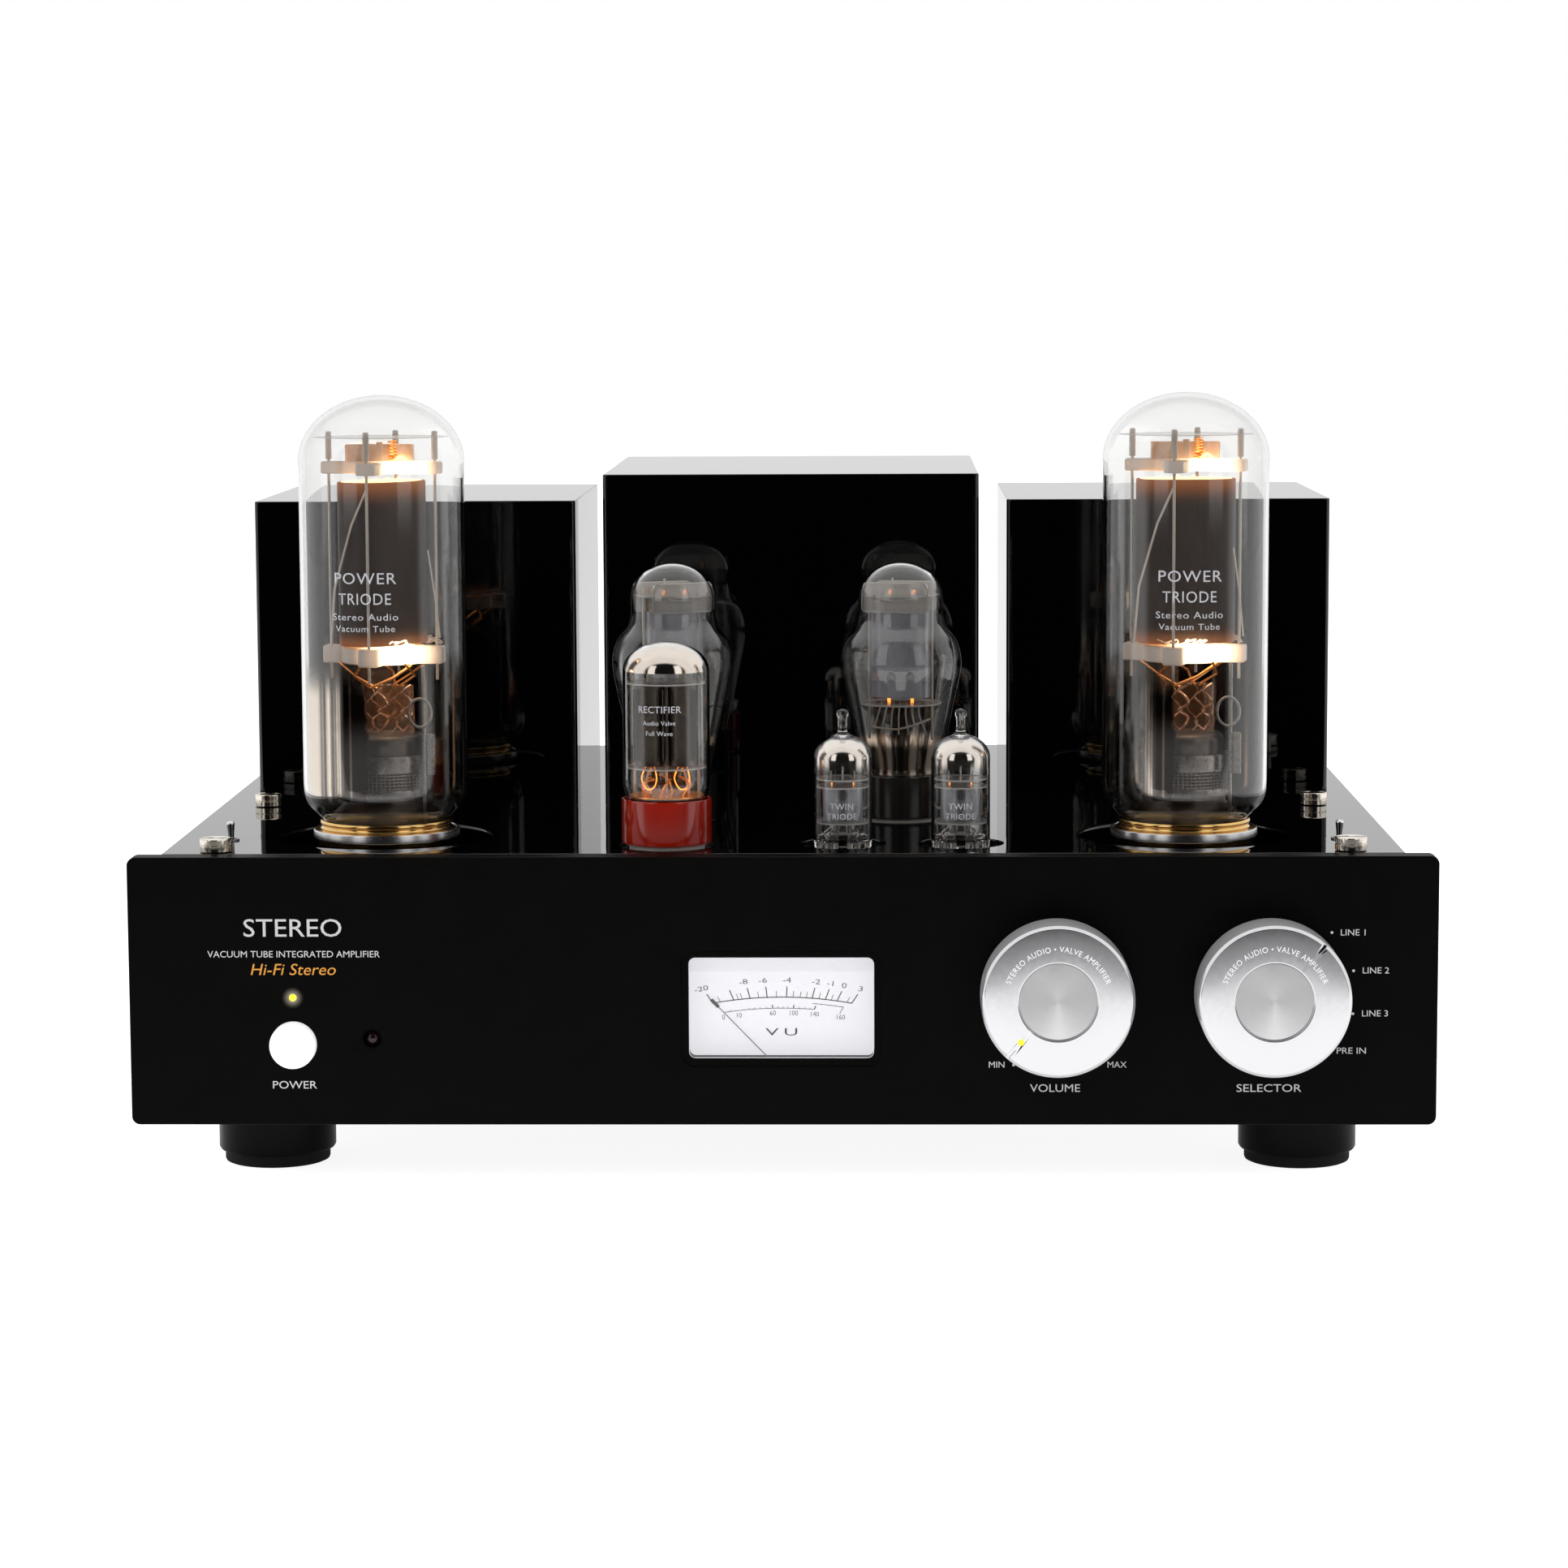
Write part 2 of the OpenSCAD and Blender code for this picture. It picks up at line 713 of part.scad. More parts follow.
module input_jacks() {
    color("#d0a84a") for (x = jack_x, z = jack_z) at(x, chassis_d, z) difference() {
        union() {
            translate([0, -10, 0]) along_depth(4.1, 20);
            along_depth(6, 1.6);
        }
        translate([0, 1, 0]) along_depth(1.7, 12);
    }
}

module mains_inlet() {
    color("#151515") at(inlet_x, chassis_d, inlet_z) {
        difference() {
            union() {
                translate([0, -22, -10.2]) block(28, 23, 20.4);
                translate([0, 0, -12]) block(50, 2.4, 24);
            }
            translate([0, -15, -8.2]) block(24.6, 20, 16.4);
            for (x = [-20, 20]) translate([x, -cut, 0]) along_depth(1.7, 5);
        }
        // Three pins of the appliance inlet.
        for (pin = [[-7, -2], [7, -2], [0, 2]])
            translate([pin[0], -16, pin[1] - 2]) block(2, 11, 4);
    }
}

// A valve's inner structure, standing on a stem: anode box, two spacers and rods.
module electrodes(base, top, w, t, rod) {
    inner = top - base;
    translate([-w / 2, -t / 2, base + inner * 0.28]) cube([w, t, inner * 0.5]);
    for (h = [0.22, 0.82]) translate([0, 0, base + inner * h]) cylinder(r = w * 0.62, h = 1.2);
    cylinder(r = w * 0.22, h = base + inner * 0.12);
    for (x = [-w * 0.45, w * 0.45])
        translate([x, 0, base]) cylinder(r = rod, h = inner, $fn = 24);
    translate([-w * 0.5, -rod, base]) cube([w, 2 * rod, 2 * rod]);
}

module power_valve_base(side) {
    bottom = -27.5;
    color("#c8993a") at(side * power_x, power_d, 0) {
        difference() {
            translate([0, 0, bottom]) cylinder(r = power_base_r, h = power_rim - bottom);
            translate([0, 0, bottom + 3]) cylinder(r = power_base_r - 1, h = power_rim - bottom);
        }
        power_pin_places() translate([0, 0, bottom - 12]) cylinder(r = 2.4, h = 13);
        // The inner structure stands on the base's floor.
        translate([0, 0, bottom + 3]) {
            cylinder(r = 11, h = 86);
            translate([0, 0, 86]) cylinder(r = 22, h = 6);
            translate([-15, -9, 92]) cube([30, 18, 64]);
            translate([0, 0, 156]) cylinder(r = 22, h = 5);
            for (x = [-18, 18]) translate([x, 0, 161]) cylinder(r = 1.2, h = 10);
            translate([0, 0, 170]) cylinder(r = 23, h = 1);
        }
    }
}

module left_power_valve_base() { power_valve_base(-1); }

module right_power_valve_base() { power_valve_base(1); }

// A glass envelope: an outer profile turned round, with the same profile inside it.
module envelope(outer, inner) {
    color("#d8e2e6") difference() {
        rotate_extrude() polygon(outer);
        rotate_extrude() polygon(inner);
    }
}

// Points of a quarter ellipse from the side up to the axis.
function dome(r, low, high, steps = 10) =
    [for (i = [0 : steps]) [r * cos(90 * i / steps), low + (high - low) * sin(90 * i / steps)]];

module power_valve_glass(side) {
    t = 1.2;
    r = power_glass_r;
    neck = power_base_r - 1.2;
    low = -20;
    at(side * power_x, power_d, 0) envelope(
        concat([[0, low], [neck, low], [neck, 7], [r - 2.5, 11], [r, 17]],
            dome(r, power_top - 24, power_top)),
        concat([[0, low - cut], [neck - t, low - cut], [neck - t, 8], [r - t - 2.5, 12],
            [r - t, 18]], dome(r - t, power_top - 24, power_top - t)));
}

module left_power_valve_glass() { power_valve_glass(-1); }

module right_power_valve_glass() { power_valve_glass(1); }

// An octal base with its pins and key, and the inner structure on its floor.
module octal_base(tint, top, w, t) {
    color(tint) translate([0, 0, socket_top]) {
        difference() {
            cylinder(r = octal_base_r, h = octal_rim - socket_top);
            translate([0, 0, 2]) cylinder(r = octal_base_r - 1.5, h = octal_rim);
        }
        translate([0, 0, -11]) pin_circle(octal_pin_circle, 8, 0) cylinder(r = octal_pin_r, h = 12);
        translate([0, 0, -13]) cylinder(r = octal_key_r, h = 14);
        translate([0, 0, 2]) electrodes(10, top - 12, w, t, 0.7);
    }
}

module rectifier_base() {
    at(rectifier_x, rectifier_d, 0) octal_base("#8c1f17", rectifier_top, 17, 11);
}

module rectifier_glass() {
    t = 1;
    r = rectifier_glass_r;
    at(rectifier_x, rectifier_d, 0) envelope(
        concat([[0, 7], [14.6, 7], [14.6, octal_rim + 0.5], [r, octal_rim + 4]],
            dome(r, rectifier_top - 10, rectifier_top)),
        concat([[0, 6], [14.6 - t, 6], [14.6 - t, octal_rim + 1], [r - t, octal_rim + 4.5]],
            dome(r - t, rectifier_top - 10, rectifier_top - t)));
}

module driver_base(side) {
    at(side * driver_x, driver_d, 0) octal_base("#17130f", driver_top, 20, 12);
}

module left_driver_base() { driver_base(-1); }

module right_driver_base() { driver_base(1); }

// The waisted outline of a driver valve's glass, drawn in by t.
function driver_profile(t) = let (r = driver_glass_r - t, neck = 14.6 - t, cap = 15.9 - t)
    concat([[0, 8 - t], [neck, 8 - t], [neck, octal_rim + 1], [neck + 2, octal_rim + 9],
        [r - 2, 49], [r, 58], [r, 63], [r - 2.2, 68.5], [cap, 74]],
        dome(cap, driver_top - 14, driver_top - t));

module driver_glass(side) {
    at(side * driver_x, driver_d, 0) envelope(driver_profile(0), driver_profile(1));
}

module left_driver_glass() { driver_glass(-1); }

module right_driver_glass() { driver_glass(1); }

module input_valve_mount(x) {
    color("#b9bcc0") at(x, input_d, noval_top + 0.3) {
        translate([0, 0, -6.8]) pin_circle(noval_pin_circle, 10, 1)
            cylinder(r = noval_pin_r, h = 13.5, $fn = 24);
        translate([0, 0, 6.5]) cylinder(r = 8.6, h = 0.8);
        translate([-4.6, -3, 7.2]) cube([9.2, 6, 20]);
        translate([0, 0, 27]) cylinder(r = 9, h = 0.8);
        translate([0, 0, 27.5]) cylinder(r = 0.6, h = 6);
        translate([0, 0, 33.5]) cylinder(r = 4, h = 0.6);
    }
}

module left_input_valve_mount() { input_valve_mount(input_x[0]); }

module right_input_valve_mount() { input_valve_mount(input_x[1]); }

module input_valve_glass(x) {
    t = 0.8;
    r = input_glass_r;
    bottom = noval_top + 0.3;
    color("#d8e2e6") at(x, input_d, 0) difference() {
        rotate_extrude() polygon(concat([[0, bottom], [r - 0.8, bottom], [r, bottom + 1]],
            [for (point = dome(r, input_top - 16, input_top - 9.6)) if (point[0] > 2.4) point],
            [[1.7, input_top - 8.6], [1.6, input_top - 5], [2.2, input_top - 2.2],
            [1.6, input_top - 0.5], [0, input_top]]));
        rotate_extrude() polygon(concat([[0, bottom + 3], [r - t, bottom + 3]],
            dome(r - t, input_top - 16.5, input_top - 10.6)));
        translate([0, 0, bottom - cut]) pin_circle(noval_pin_circle, 10, 1)
            cylinder(r = noval_pin_r, h = 5, $fn = 24);
    }
}

module left_input_valve_glass() { input_valve_glass(input_x[0]); }

module right_input_valve_glass() { input_valve_glass(input_x[1]); }

module power_button() {
    color("#f2f2f0") at(power_button_x, -power_button_out, power_button_z) {
        rotate([-90, 0, 0]) rotate_extrude() polygon([[0, 0], [power_button_r - 0.5, 0],
            [power_button_r, 0.5], [power_button_r, 12], [0, 12]]);
        translate([0, 11, 0]) along_depth(3, 12);
    }
}

front_panel();
deck_plate();
chassis_frame();
rear_panel();
bottom_plate();
feet();
foot_pads();
foot_screws();
left_transformer_cover();
center_transformer_cover();
right_transformer_cover();
transformer_cores();
transformer_coils();
filter_choke();
circuit_board();
filter_capacitors();
power_valve_sockets();
power_socket_shells();
power_socket_collars();
octal_sockets();
noval_sockets();
power_switch();
power_led();
ir_receiver();
meter_case();
meter_dial();
meter_lens();
volume_pot();
selector_switch();
trim_pots();
toggle_switches();
speaker_sockets();
input_jacks();
mains_inlet();
left_power_valve_base();
left_power_valve_glass();
right_power_valve_base();
right_power_valve_glass();
rectifier_base();
rectifier_glass();
left_driver_base();
left_driver_glass();
right_driver_base();
right_driver_glass();
left_input_valve_mount();
left_input_valve_glass();
right_input_valve_mount();
right_input_valve_glass();
power_button();
meter_needle();
volume_knob();
volume_shaft();
selector_knob();
selector_shaft();
left_toggle_lever();
right_toggle_lever();
left_front_trim_cap();
right_front_trim_cap();
left_rear_trim_cap();
right_rear_trim_cap();
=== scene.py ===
from math import copysign, cos, hypot, pi, radians, sin, sqrt, tau

import bmesh
import bpy
from mathutils import Matrix, Vector
from mathutils.geometry import tessellate_polygon


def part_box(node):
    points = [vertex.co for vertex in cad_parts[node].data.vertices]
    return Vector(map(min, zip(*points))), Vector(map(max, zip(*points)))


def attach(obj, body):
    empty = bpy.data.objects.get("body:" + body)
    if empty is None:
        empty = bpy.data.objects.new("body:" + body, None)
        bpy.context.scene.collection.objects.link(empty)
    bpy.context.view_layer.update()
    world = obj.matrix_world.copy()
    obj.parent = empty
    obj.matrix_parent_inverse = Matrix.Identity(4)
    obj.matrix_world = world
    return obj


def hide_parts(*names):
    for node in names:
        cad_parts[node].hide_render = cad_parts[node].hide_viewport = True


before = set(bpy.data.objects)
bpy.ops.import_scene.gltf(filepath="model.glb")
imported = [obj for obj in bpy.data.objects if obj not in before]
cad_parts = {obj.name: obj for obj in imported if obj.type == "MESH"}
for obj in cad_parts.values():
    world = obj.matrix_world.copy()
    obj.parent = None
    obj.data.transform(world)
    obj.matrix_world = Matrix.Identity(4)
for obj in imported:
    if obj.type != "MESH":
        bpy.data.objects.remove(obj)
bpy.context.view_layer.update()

# Places are in millimetres: to the right of the middle, behind the panel's face, and
# above the deck's top. at() turns them into the frame, in metres.
MM = 0.001
FACE_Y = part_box("front_panel")[0].y
DECK_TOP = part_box("deck_plate")[1].z


def at(x, d, z):
    return Vector((x * MM, FACE_Y + d * MM, DECK_TOP + z * MM))


def span(node):
    """A node's box in this script's millimetres: lowest and highest (x, d, z)."""
    return [((p.x) / MM, (p.y - FACE_Y) / MM, (p.z - DECK_TOP) / MM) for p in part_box(node)]


def middle(node):
    """(x, d, z) of the middle of a node's box."""
    return [(a + b) / 2 for a, b in zip(*span(node))]


# ---------------------------------------------------------------- camera
CAMERA_PLACE = Vector((0.0362, -1.6670, 0.3246))
CAMERA_YAW = radians(1.3458)
CAMERA_PITCH = radians(6.8101)
CAMERA_ROLL = radians(-0.2582)
CAMERA_LENS, SENSOR_WIDTH = 97.21, 36


def make_camera():
    ahead = Vector((-sin(CAMERA_YAW) * cos(CAMERA_PITCH), cos(CAMERA_YAW) * cos(CAMERA_PITCH),
        -sin(CAMERA_PITCH)))
    level = Vector((cos(CAMERA_YAW), sin(CAMERA_YAW), 0))
    upright = level.cross(ahead)
    right = level * cos(CAMERA_ROLL) + upright * sin(CAMERA_ROLL)
    up = upright * cos(CAMERA_ROLL) - level * sin(CAMERA_ROLL)
    data = bpy.data.cameras.new("camera")
    data.lens, data.sensor_width = CAMERA_LENS, SENSOR_WIDTH
    data.clip_start, data.clip_end = 0.05, 50
    camera = bpy.data.objects.new("camera", data)
    turn = Matrix((right, up, -ahead)).transposed().to_4x4()
    camera.matrix_world = Matrix.Translation(CAMERA_PLACE) @ turn
    bpy.context.scene.collection.objects.link(camera)
    bpy.context.scene.camera = camera


make_camera()


# ---------------------------------------------------------------- node helpers
class Tree:
    """Short names for the nodes of a material or of the world."""

    def __init__(self, tree):
        self.nodes, self.links = tree.nodes, tree.links

    def add(self, kind, **settings):
        node = self.nodes.new("ShaderNode" + kind)
        for key, value in settings.items():
            setattr(node, key, value)
        return node

    def feed(self, socket, value):
        if isinstance(value, bpy.types.NodeSocket):
            self.links.new(value, socket)
        else:
            socket.default_value = value

    def math(operation):
        """Makes the method that adds one kind of Math node, of one or two values."""
        def join(self, a, b=0.0):
            node = self.add("Math", operation=operation)
            self.feed(node.inputs[0], a)
            self.feed(node.inputs[1], b)
            return node.outputs[0]
        return join

    plus, minus, times, power = map(math, ("ADD", "SUBTRACT", "MULTIPLY", "POWER"))
    most, above, size = map(math, ("MAXIMUM", "GREATER_THAN", "ABSOLUTE"))
    root, angle = map(math, ("SQRT", "ARCTAN2"))

    def ramp(self, value, low, high, to_low=0.0, to_high=1.0, kind="LINEAR"):
        node = self.add("MapRange", interpolation_type=kind)
        for i, v in enumerate((value, low, high, to_low, to_high)):
            self.feed(node.inputs[i], v)
        return node.outputs[0]

    def fade(self, value, low, high, to_low=0.0, to_high=1.0):
        return self.ramp(value, low, high, to_low, to_high, "SMOOTHSTEP")

    def mix(self, factor, a, b):
        node = self.add("Mix", data_type="RGBA")
        self.feed(node.inputs[0], factor)
        self.feed(node.inputs[6], a)
        self.feed(node.inputs[7], b)
        return node.outputs[2]

    def noise(self, place, scale, detail=4.0, rough=0.55, dimensions="3D"):
        node = self.add("TexNoise", noise_dimensions=dimensions)
        self.feed(node.inputs["W" if dimensions == "1D" else "Vector"], place)
        node.inputs["Scale"].default_value = scale
        node.inputs["Detail"].default_value = detail
        node.inputs["Roughness"].default_value = rough
        return node.outputs["Fac"]

    def axes(self, place):
        return self.add_linked("SeparateXYZ", place).outputs

    def add_linked(self, kind, value, **settings):
        node = self.add(kind, **settings)
        self.feed(node.inputs[0], value)
        return node


def rgb(colour, factor=1.0):
    return (*(min(1.0, c * factor) for c in colour), 1.0)


COAT_ROUGHNESS = 0.05
LOOKS = {}        # every material made here, by name


def material(name, colour, roughness, metallic=0.0, *, vary=0.12, scale=300.0, detail=4.0,
        stretch=(1, 1, 1), rough_vary=0.06, bump=0.0, bump_scale=None, specular=0.5,
        transmission=0.0, coat=0.0, glow=None, strength=0.0, alpha=1.0, anisotropic=0.0):
    """A procedural surface: tone, roughness and relief all follow noise at a real scale."""
    made = LOOKS[name] = bpy.data.materials.new(name)
    made.use_nodes = True
    tree = Tree(made.node_tree)
    surface = tree.nodes["Principled BSDF"]
    place = tree.add("TexCoord").outputs["Object"]
    mapping = tree.add_linked("Mapping", place)
    mapping.inputs["Scale"].default_value = stretch
    spots = tree.noise(mapping.outputs[0], scale, detail)
    patches = tree.noise(mapping.outputs[0], scale * 0.07, 2.0)
    both = tree.plus(tree.times(spots, 0.6), tree.times(patches, 0.4))
    tone = tree.ramp(both, 0.3, 0.7)
    tree.feed(surface.inputs["Base Color"], tree.mix(tone, rgb(colour, 1 - vary),
        rgb(colour, 1 + vary)))
    tree.feed(surface.inputs["Roughness"], tree.ramp(both, 0.3, 0.7,
        max(0.0, roughness - rough_vary), min(1.0, roughness + rough_vary)))
    if bump:
        relief = tree.add("Bump")
        relief.inputs["Strength"].default_value = 1.0
        relief.inputs["Distance"].default_value = bump
        grain = tree.noise(mapping.outputs[0], bump_scale or scale, 3.0)
        tree.feed(relief.inputs["Height"], grain)
        tree.feed(surface.inputs["Normal"], relief.outputs[0])
    for socket, value in (("Metallic", metallic), ("Specular IOR Level", specular),
            ("Transmission Weight", transmission), ("Coat Weight", coat),
            ("Coat Roughness", COAT_ROUGHNESS), ("Alpha", alpha), ("Anisotropic", anisotropic)):
        surface.inputs[socket].default_value = value
    if glow:
        tree.feed(surface.inputs["Emission Color"], rgb(glow))
        tree.feed(surface.inputs["Emission Strength"], tree.ramp(spots, 0.2, 0.8, strength * 0.85,
            strength * 1.15))
    return made


def tree_of(made):
    tree = Tree(made.node_tree)
    return tree, tree.nodes["Principled BSDF"]


def object_place(tree):
    return tree.axes(tree.add("TexCoord").outputs["Object"])


# ---------------------------------------------------------------- world, floor and lights
FLOOR_FRONT, FLOOR_GLOW, FLOOR_LIFT = -485.0, 0.34, 0.56
REAR_LIGHT, FRONT_DARK, FRONT_LOW = 0.9, 0.004, 0.38
SOFTBOX, SOFTBOX_INNER, SOFTBOX_OUTER = 1.05, 27.0, 50.0


def make_world():
    """White behind and around, dark in front, with two soft panels to the front's sides."""
    world = bpy.data.worlds.new("studio")
    bpy.context.scene.world = world
    world.use_nodes = True
    tree = Tree(world.node_tree)
    x, y, z = tree.axes(tree.add("TexCoord").outputs["Generated"])
    ahead = tree.times(y, -1.0)
    front = tree.fade(ahead, 0.42, 0.6)
    low = tree.fade(z, -0.15, -0.12, 1.0, 0.0)
    level = tree.ramp(front, 0.0, 1.0, REAR_LIGHT, FRONT_DARK)
    lowered = tree.times(front, low)
    level = tree.plus(level, tree.times(lowered, FRONT_LOW - FRONT_DARK))
    turn = tree.size(tree.angle(x, ahead))
    inner, outer = radians(SOFTBOX_INNER), radians(SOFTBOX_OUTER)
    panel = tree.times(tree.fade(turn, inner, inner + 0.05), tree.fade(turn, outer - 0.05, outer,
        1.0, 0.0))
    panel = tree.times(panel, tree.fade(z, -0.05, 0.0))
    panel = tree.times(panel, tree.fade(z, 0.62, 0.72, 1.0, 0.0))
    level = tree.most(level, tree.times(panel, SOFTBOX))
    path = tree.add("LightPath")
    through = tree.times(path.outputs["Is Transmission Ray"], tree.above(y, 0.0))
    seen = tree.most(path.outputs["Is Camera Ray"], through)
    tree.feed(tree.nodes["Background"].inputs["Strength"], tree.most(level, seen))
    tree.nodes["Background"].inputs["Color"].default_value = (1, 1, 1, 1)


def make_floor():
    made = material("floor_paper", (0.84, 0.84, 0.84), 0.85, vary=0.01, scale=900, bump=2e-6,
        specular=0.0, glow=(1, 1, 1), strength=FLOOR_GLOW)
    tree, surface = tree_of(made)
    seen = tree.add("LightPath").outputs["Is Camera Ray"]
    tree.feed(surface.inputs["Emission Strength"], tree.plus(tree.times(seen, FLOOR_LIFT),
        FLOOR_GLOW))
    mesh = bmesh.new()
    far, wide = 6000, 3500
    corners = [(-wide, FLOOR_FRONT), (wide, FLOOR_FRONT), (wide, far), (-wide, far)]
    floor_z = -DECK_TOP / MM
    mesh.faces.new([mesh.verts.new(at(x, d, floor_z)) for x, d in corners])
    data = bpy.data.meshes.new("floor")
    mesh.to_mesh(data)
    data.materials.append(made)
    floor = bpy.data.objects.new("floor", data)
    bpy.context.scene.collection.objects.link(floor)


KEY_PLACE, KEY_TARGET = Vector((-0.5, -1.7, 1.5)), Vector((0, 0, 0.15))
KEY_SIZE, KEY_POWER = 1.4, 17


def soft_light(name, place, target, size, power):
    data = bpy.data.lights.new(name, "AREA")
    data.shape, data.size, data.energy = "DISK", size, power
    light = bpy.data.objects.new(name, data)
    turn = (target - place).to_track_quat("-Z", "Y").to_matrix().to_4x4()
    light.matrix_world = Matrix.Translation(place) @ turn
    light.visible_glossy = False
    light.visible_transmission = False
    light.visible_camera = False
    bpy.context.scene.collection.objects.link(light)


make_world()
make_floor()
soft_light("key_light", KEY_PLACE, KEY_TARGET, KEY_SIZE, KEY_POWER)
bpy.context.scene.view_settings.view_transform = "Standard"


# ---------------------------------------------------------------- outlines
def rounded_rect(u, v, w, h, r, steps=8):
    """An outline as a function of how far it is drawn in."""
    def loop(inset):
        radius = max(r - inset, 0.02)
        half_w, half_h = w / 2 - inset - radius, h / 2 - inset - radius
        points = []
        for corner, (a, b) in enumerate(((1, 1), (-1, 1), (-1, -1), (1, -1))):
            for i in range(steps + 1):
                angle = radians(90 * corner + 90 * i / steps)
                points.append((u + a * half_w + radius * cos(angle),
                    v + b * half_h + radius * sin(angle)))
        return points
    return loop


def circle(u, v, r, steps=96):
    def loop(inset):
        return [(u + (r - inset) * cos(tau * i / steps), v + (r - inset) * sin(tau * i / steps))
            for i in range(steps)]
    return loop


def around(r, angle, z=0):
    return (r * cos(angle), r * sin(angle), z)


def edge(front, back, bevel, hole=False, back_bevel=0.3, steps=3):
    """The (inset, depth) steps of a plate's rim, rounded at both faces."""
    sign = -1 if hole else 1
    turn = [radians(90 * i / steps) for i in range(steps + 1)]
    return ([(sign * bevel * (1 - sin(a)), front + bevel * (1 - cos(a))) for a in turn] +
        [(sign * back_bevel * (1 - cos(a)), back - back_bevel * (1 - sin(a))) for a in turn])


def smooth_line(points, steps=6):
    """A Catmull-Rom curve through points of two or three numbers."""
    out = []
    last = len(points) - 1
    for i in range(last):
        p = [points[max(i - 1, 0)], points[i], points[i + 1], points[min(i + 2, last)]]
        for s in range(steps):
            t = s / steps
            weights = (-t + 2 * t * t - t ** 3, 2 - 5 * t * t + 3 * t ** 3,
                t + 4 * t * t - 3 * t ** 3, -t * t + t ** 3)
            out.append(tuple(0.5 * sum(w * q[k] for w, q in zip(weights,
                p)) for k in range(len(points[0]))))
    return out + [tuple(points[-1])]


def dome(r, low, high, steps=14):
    return [(r * cos(pi / 2 * i / steps), low + (high - low) * sin(pi / 2 * i / steps)) for i in
        range(steps + 1)]


# ---------------------------------------------------------------- pieces
SHARP = radians(35)


class Piece:
    """Mesh parts in millimetres around one place, for one object with a name, a material, a body,
    a slot (the material's name, if none is given; the slot is kept but not used) and the CAD nodes
    it replaces."""
    waiting = []

    def __init__(self, name, made, body, slot=None, replaces=(), *, place=(0, 0, 0),
            weighted=False, merge=True, normals=True):
        self.name, self.made, self.body, self.slot = name, made, body, slot or made
        self.replaces, self.place = replaces, at(*place)
        self.weighted, self.merge, self.normals = weighted, merge, normals
        self.mesh = bmesh.new()
        self.waiting.append(self)

    def ring(self, points):
        return [self.mesh.verts.new(Vector(p) * MM) for p in points]

    def face(self, corners):
        corners = [c for i, c in enumerate(corners) if c is not corners[i - 1]]
        if len(corners) > 2:
            self.mesh.faces.new(corners)

    def strip(self, a, b, closed=True):
        count = max(len(a), len(b))
        a = a * count if len(a) == 1 else a
        b = b * count if len(b) == 1 else b
        for i in range(count if closed else count - 1):
            k = (i + 1) % count
            self.face([a[i], a[k], b[k], b[i]])

    def lathe(self, profile, sides=96, centre=(0, 0, 0), closed=False, axis="z"):
        """A profile of (radius, height) turned round an axis, which for y points to the front."""
        rings = []
        for r, h in profile:
            if r < 1e-4:
                loop = [(0, 0, h)]
            else:
                loop = [around(r, tau * i / sides, h) for i in range(sides)]
            if axis == "y":
                loop = [(x, -z, y) for x, y, z in loop]
            rings.append(self.ring([(x + centre[0], y + centre[1], z + centre[2]) for x, y,
                z in loop]))
        pairs = list(zip(rings, rings[1:]))
        if closed:
            pairs.append((rings[-1], rings[0]))
        for a, b in pairs:
            self.strip(a, b)

    def slab(self, outline, holes, place):
        """A plate: each outline is (loop, rim steps), and place(u, v, w) puts it in space."""
        fronts, backs = [], []
        for loop, rim in [outline, *holes]:
            flat = [loop(inset) for inset, depth in rim]
            rings = [self.ring([place(u, v, depth) for u, v in points]) for points,
                (inset, depth) in zip(flat, rim)]
            for a, b in zip(rings, rings[1:]):
                self.strip(a, b)
            fronts.append((flat[0], rings[0]))
            backs.append((flat[-1], rings[-1]))
        for caps in (fronts, backs):
            lines = [[Vector((u, v, 0)) for u, v in points] for points, ring in caps]
            corners = [v for points, ring in caps for v in ring]
            for triangle in tessellate_polygon(lines):
                self.face([corners[i] for i in triangle])

    def box(self, lo, hi, bevel=0.15, turn=None):
        """A box with rounded upright edges and chamfered ends."""
        w, t = hi[0] - lo[0], hi[1] - lo[1]
        loop = rounded_rect((lo[0] + hi[0]) / 2, (lo[1] + hi[1]) / 2, w, t, bevel * 1.5, 3)
        turn = turn or Matrix.Identity(3)
        self.slab((loop, [(bevel, lo[2]), (0, lo[2] + bevel), (0, hi[2] - bevel), (bevel, hi[2])]),
            [], lambda u, v, h: turn @ Vector((u, v, h)))

    def sleeve(self, a, b, wall, rim, turn=0.0, steps=96, x=0.0):
        """An upright tube of flattened round section: half widths, wall and outer rim."""
        hollow = ellipse(a - wall, b - wall, turn, steps), [(0, rim[0][1]), (0, rim[-1][1])]
        self.slab((ellipse(a, b, turn, steps), rim), [hollow], lambda u, v, w: (u + x, v, w))

    def tube(self, points, radius, sides=10, closed=False, flat=1.0):
        """A wire along points, or a flat strip where flat is below 1."""
        points = [Vector(p) for p in points]
        count = len(points)
        rings, side = [], None
        for i, p in enumerate(points):
            before = points[i - 1] if i or closed else p
            after = points[(i + 1) % count] if i < count - 1 or closed else p
            along = (after - before).normalized()
            if side is None:
                side = along.cross(Vector((0, 0, 1)) if abs(along.z) < 0.9 else Vector((0, 1, 0)))
            side = (side - along * side.dot(along)).normalized()
            other = along.cross(side)
            rings.append(self.ring([p + side * radius * cos(tau * k / sides) + other * radius *
                flat * sin(tau * k / sides) for k in range(sides)]))
        for a, b in zip(rings, rings[1:]):
            self.strip(a, b)
        if closed:
            self.strip(rings[-1], rings[0])
        else:
            self.face(list(reversed(rings[0])))
            self.face(rings[-1])

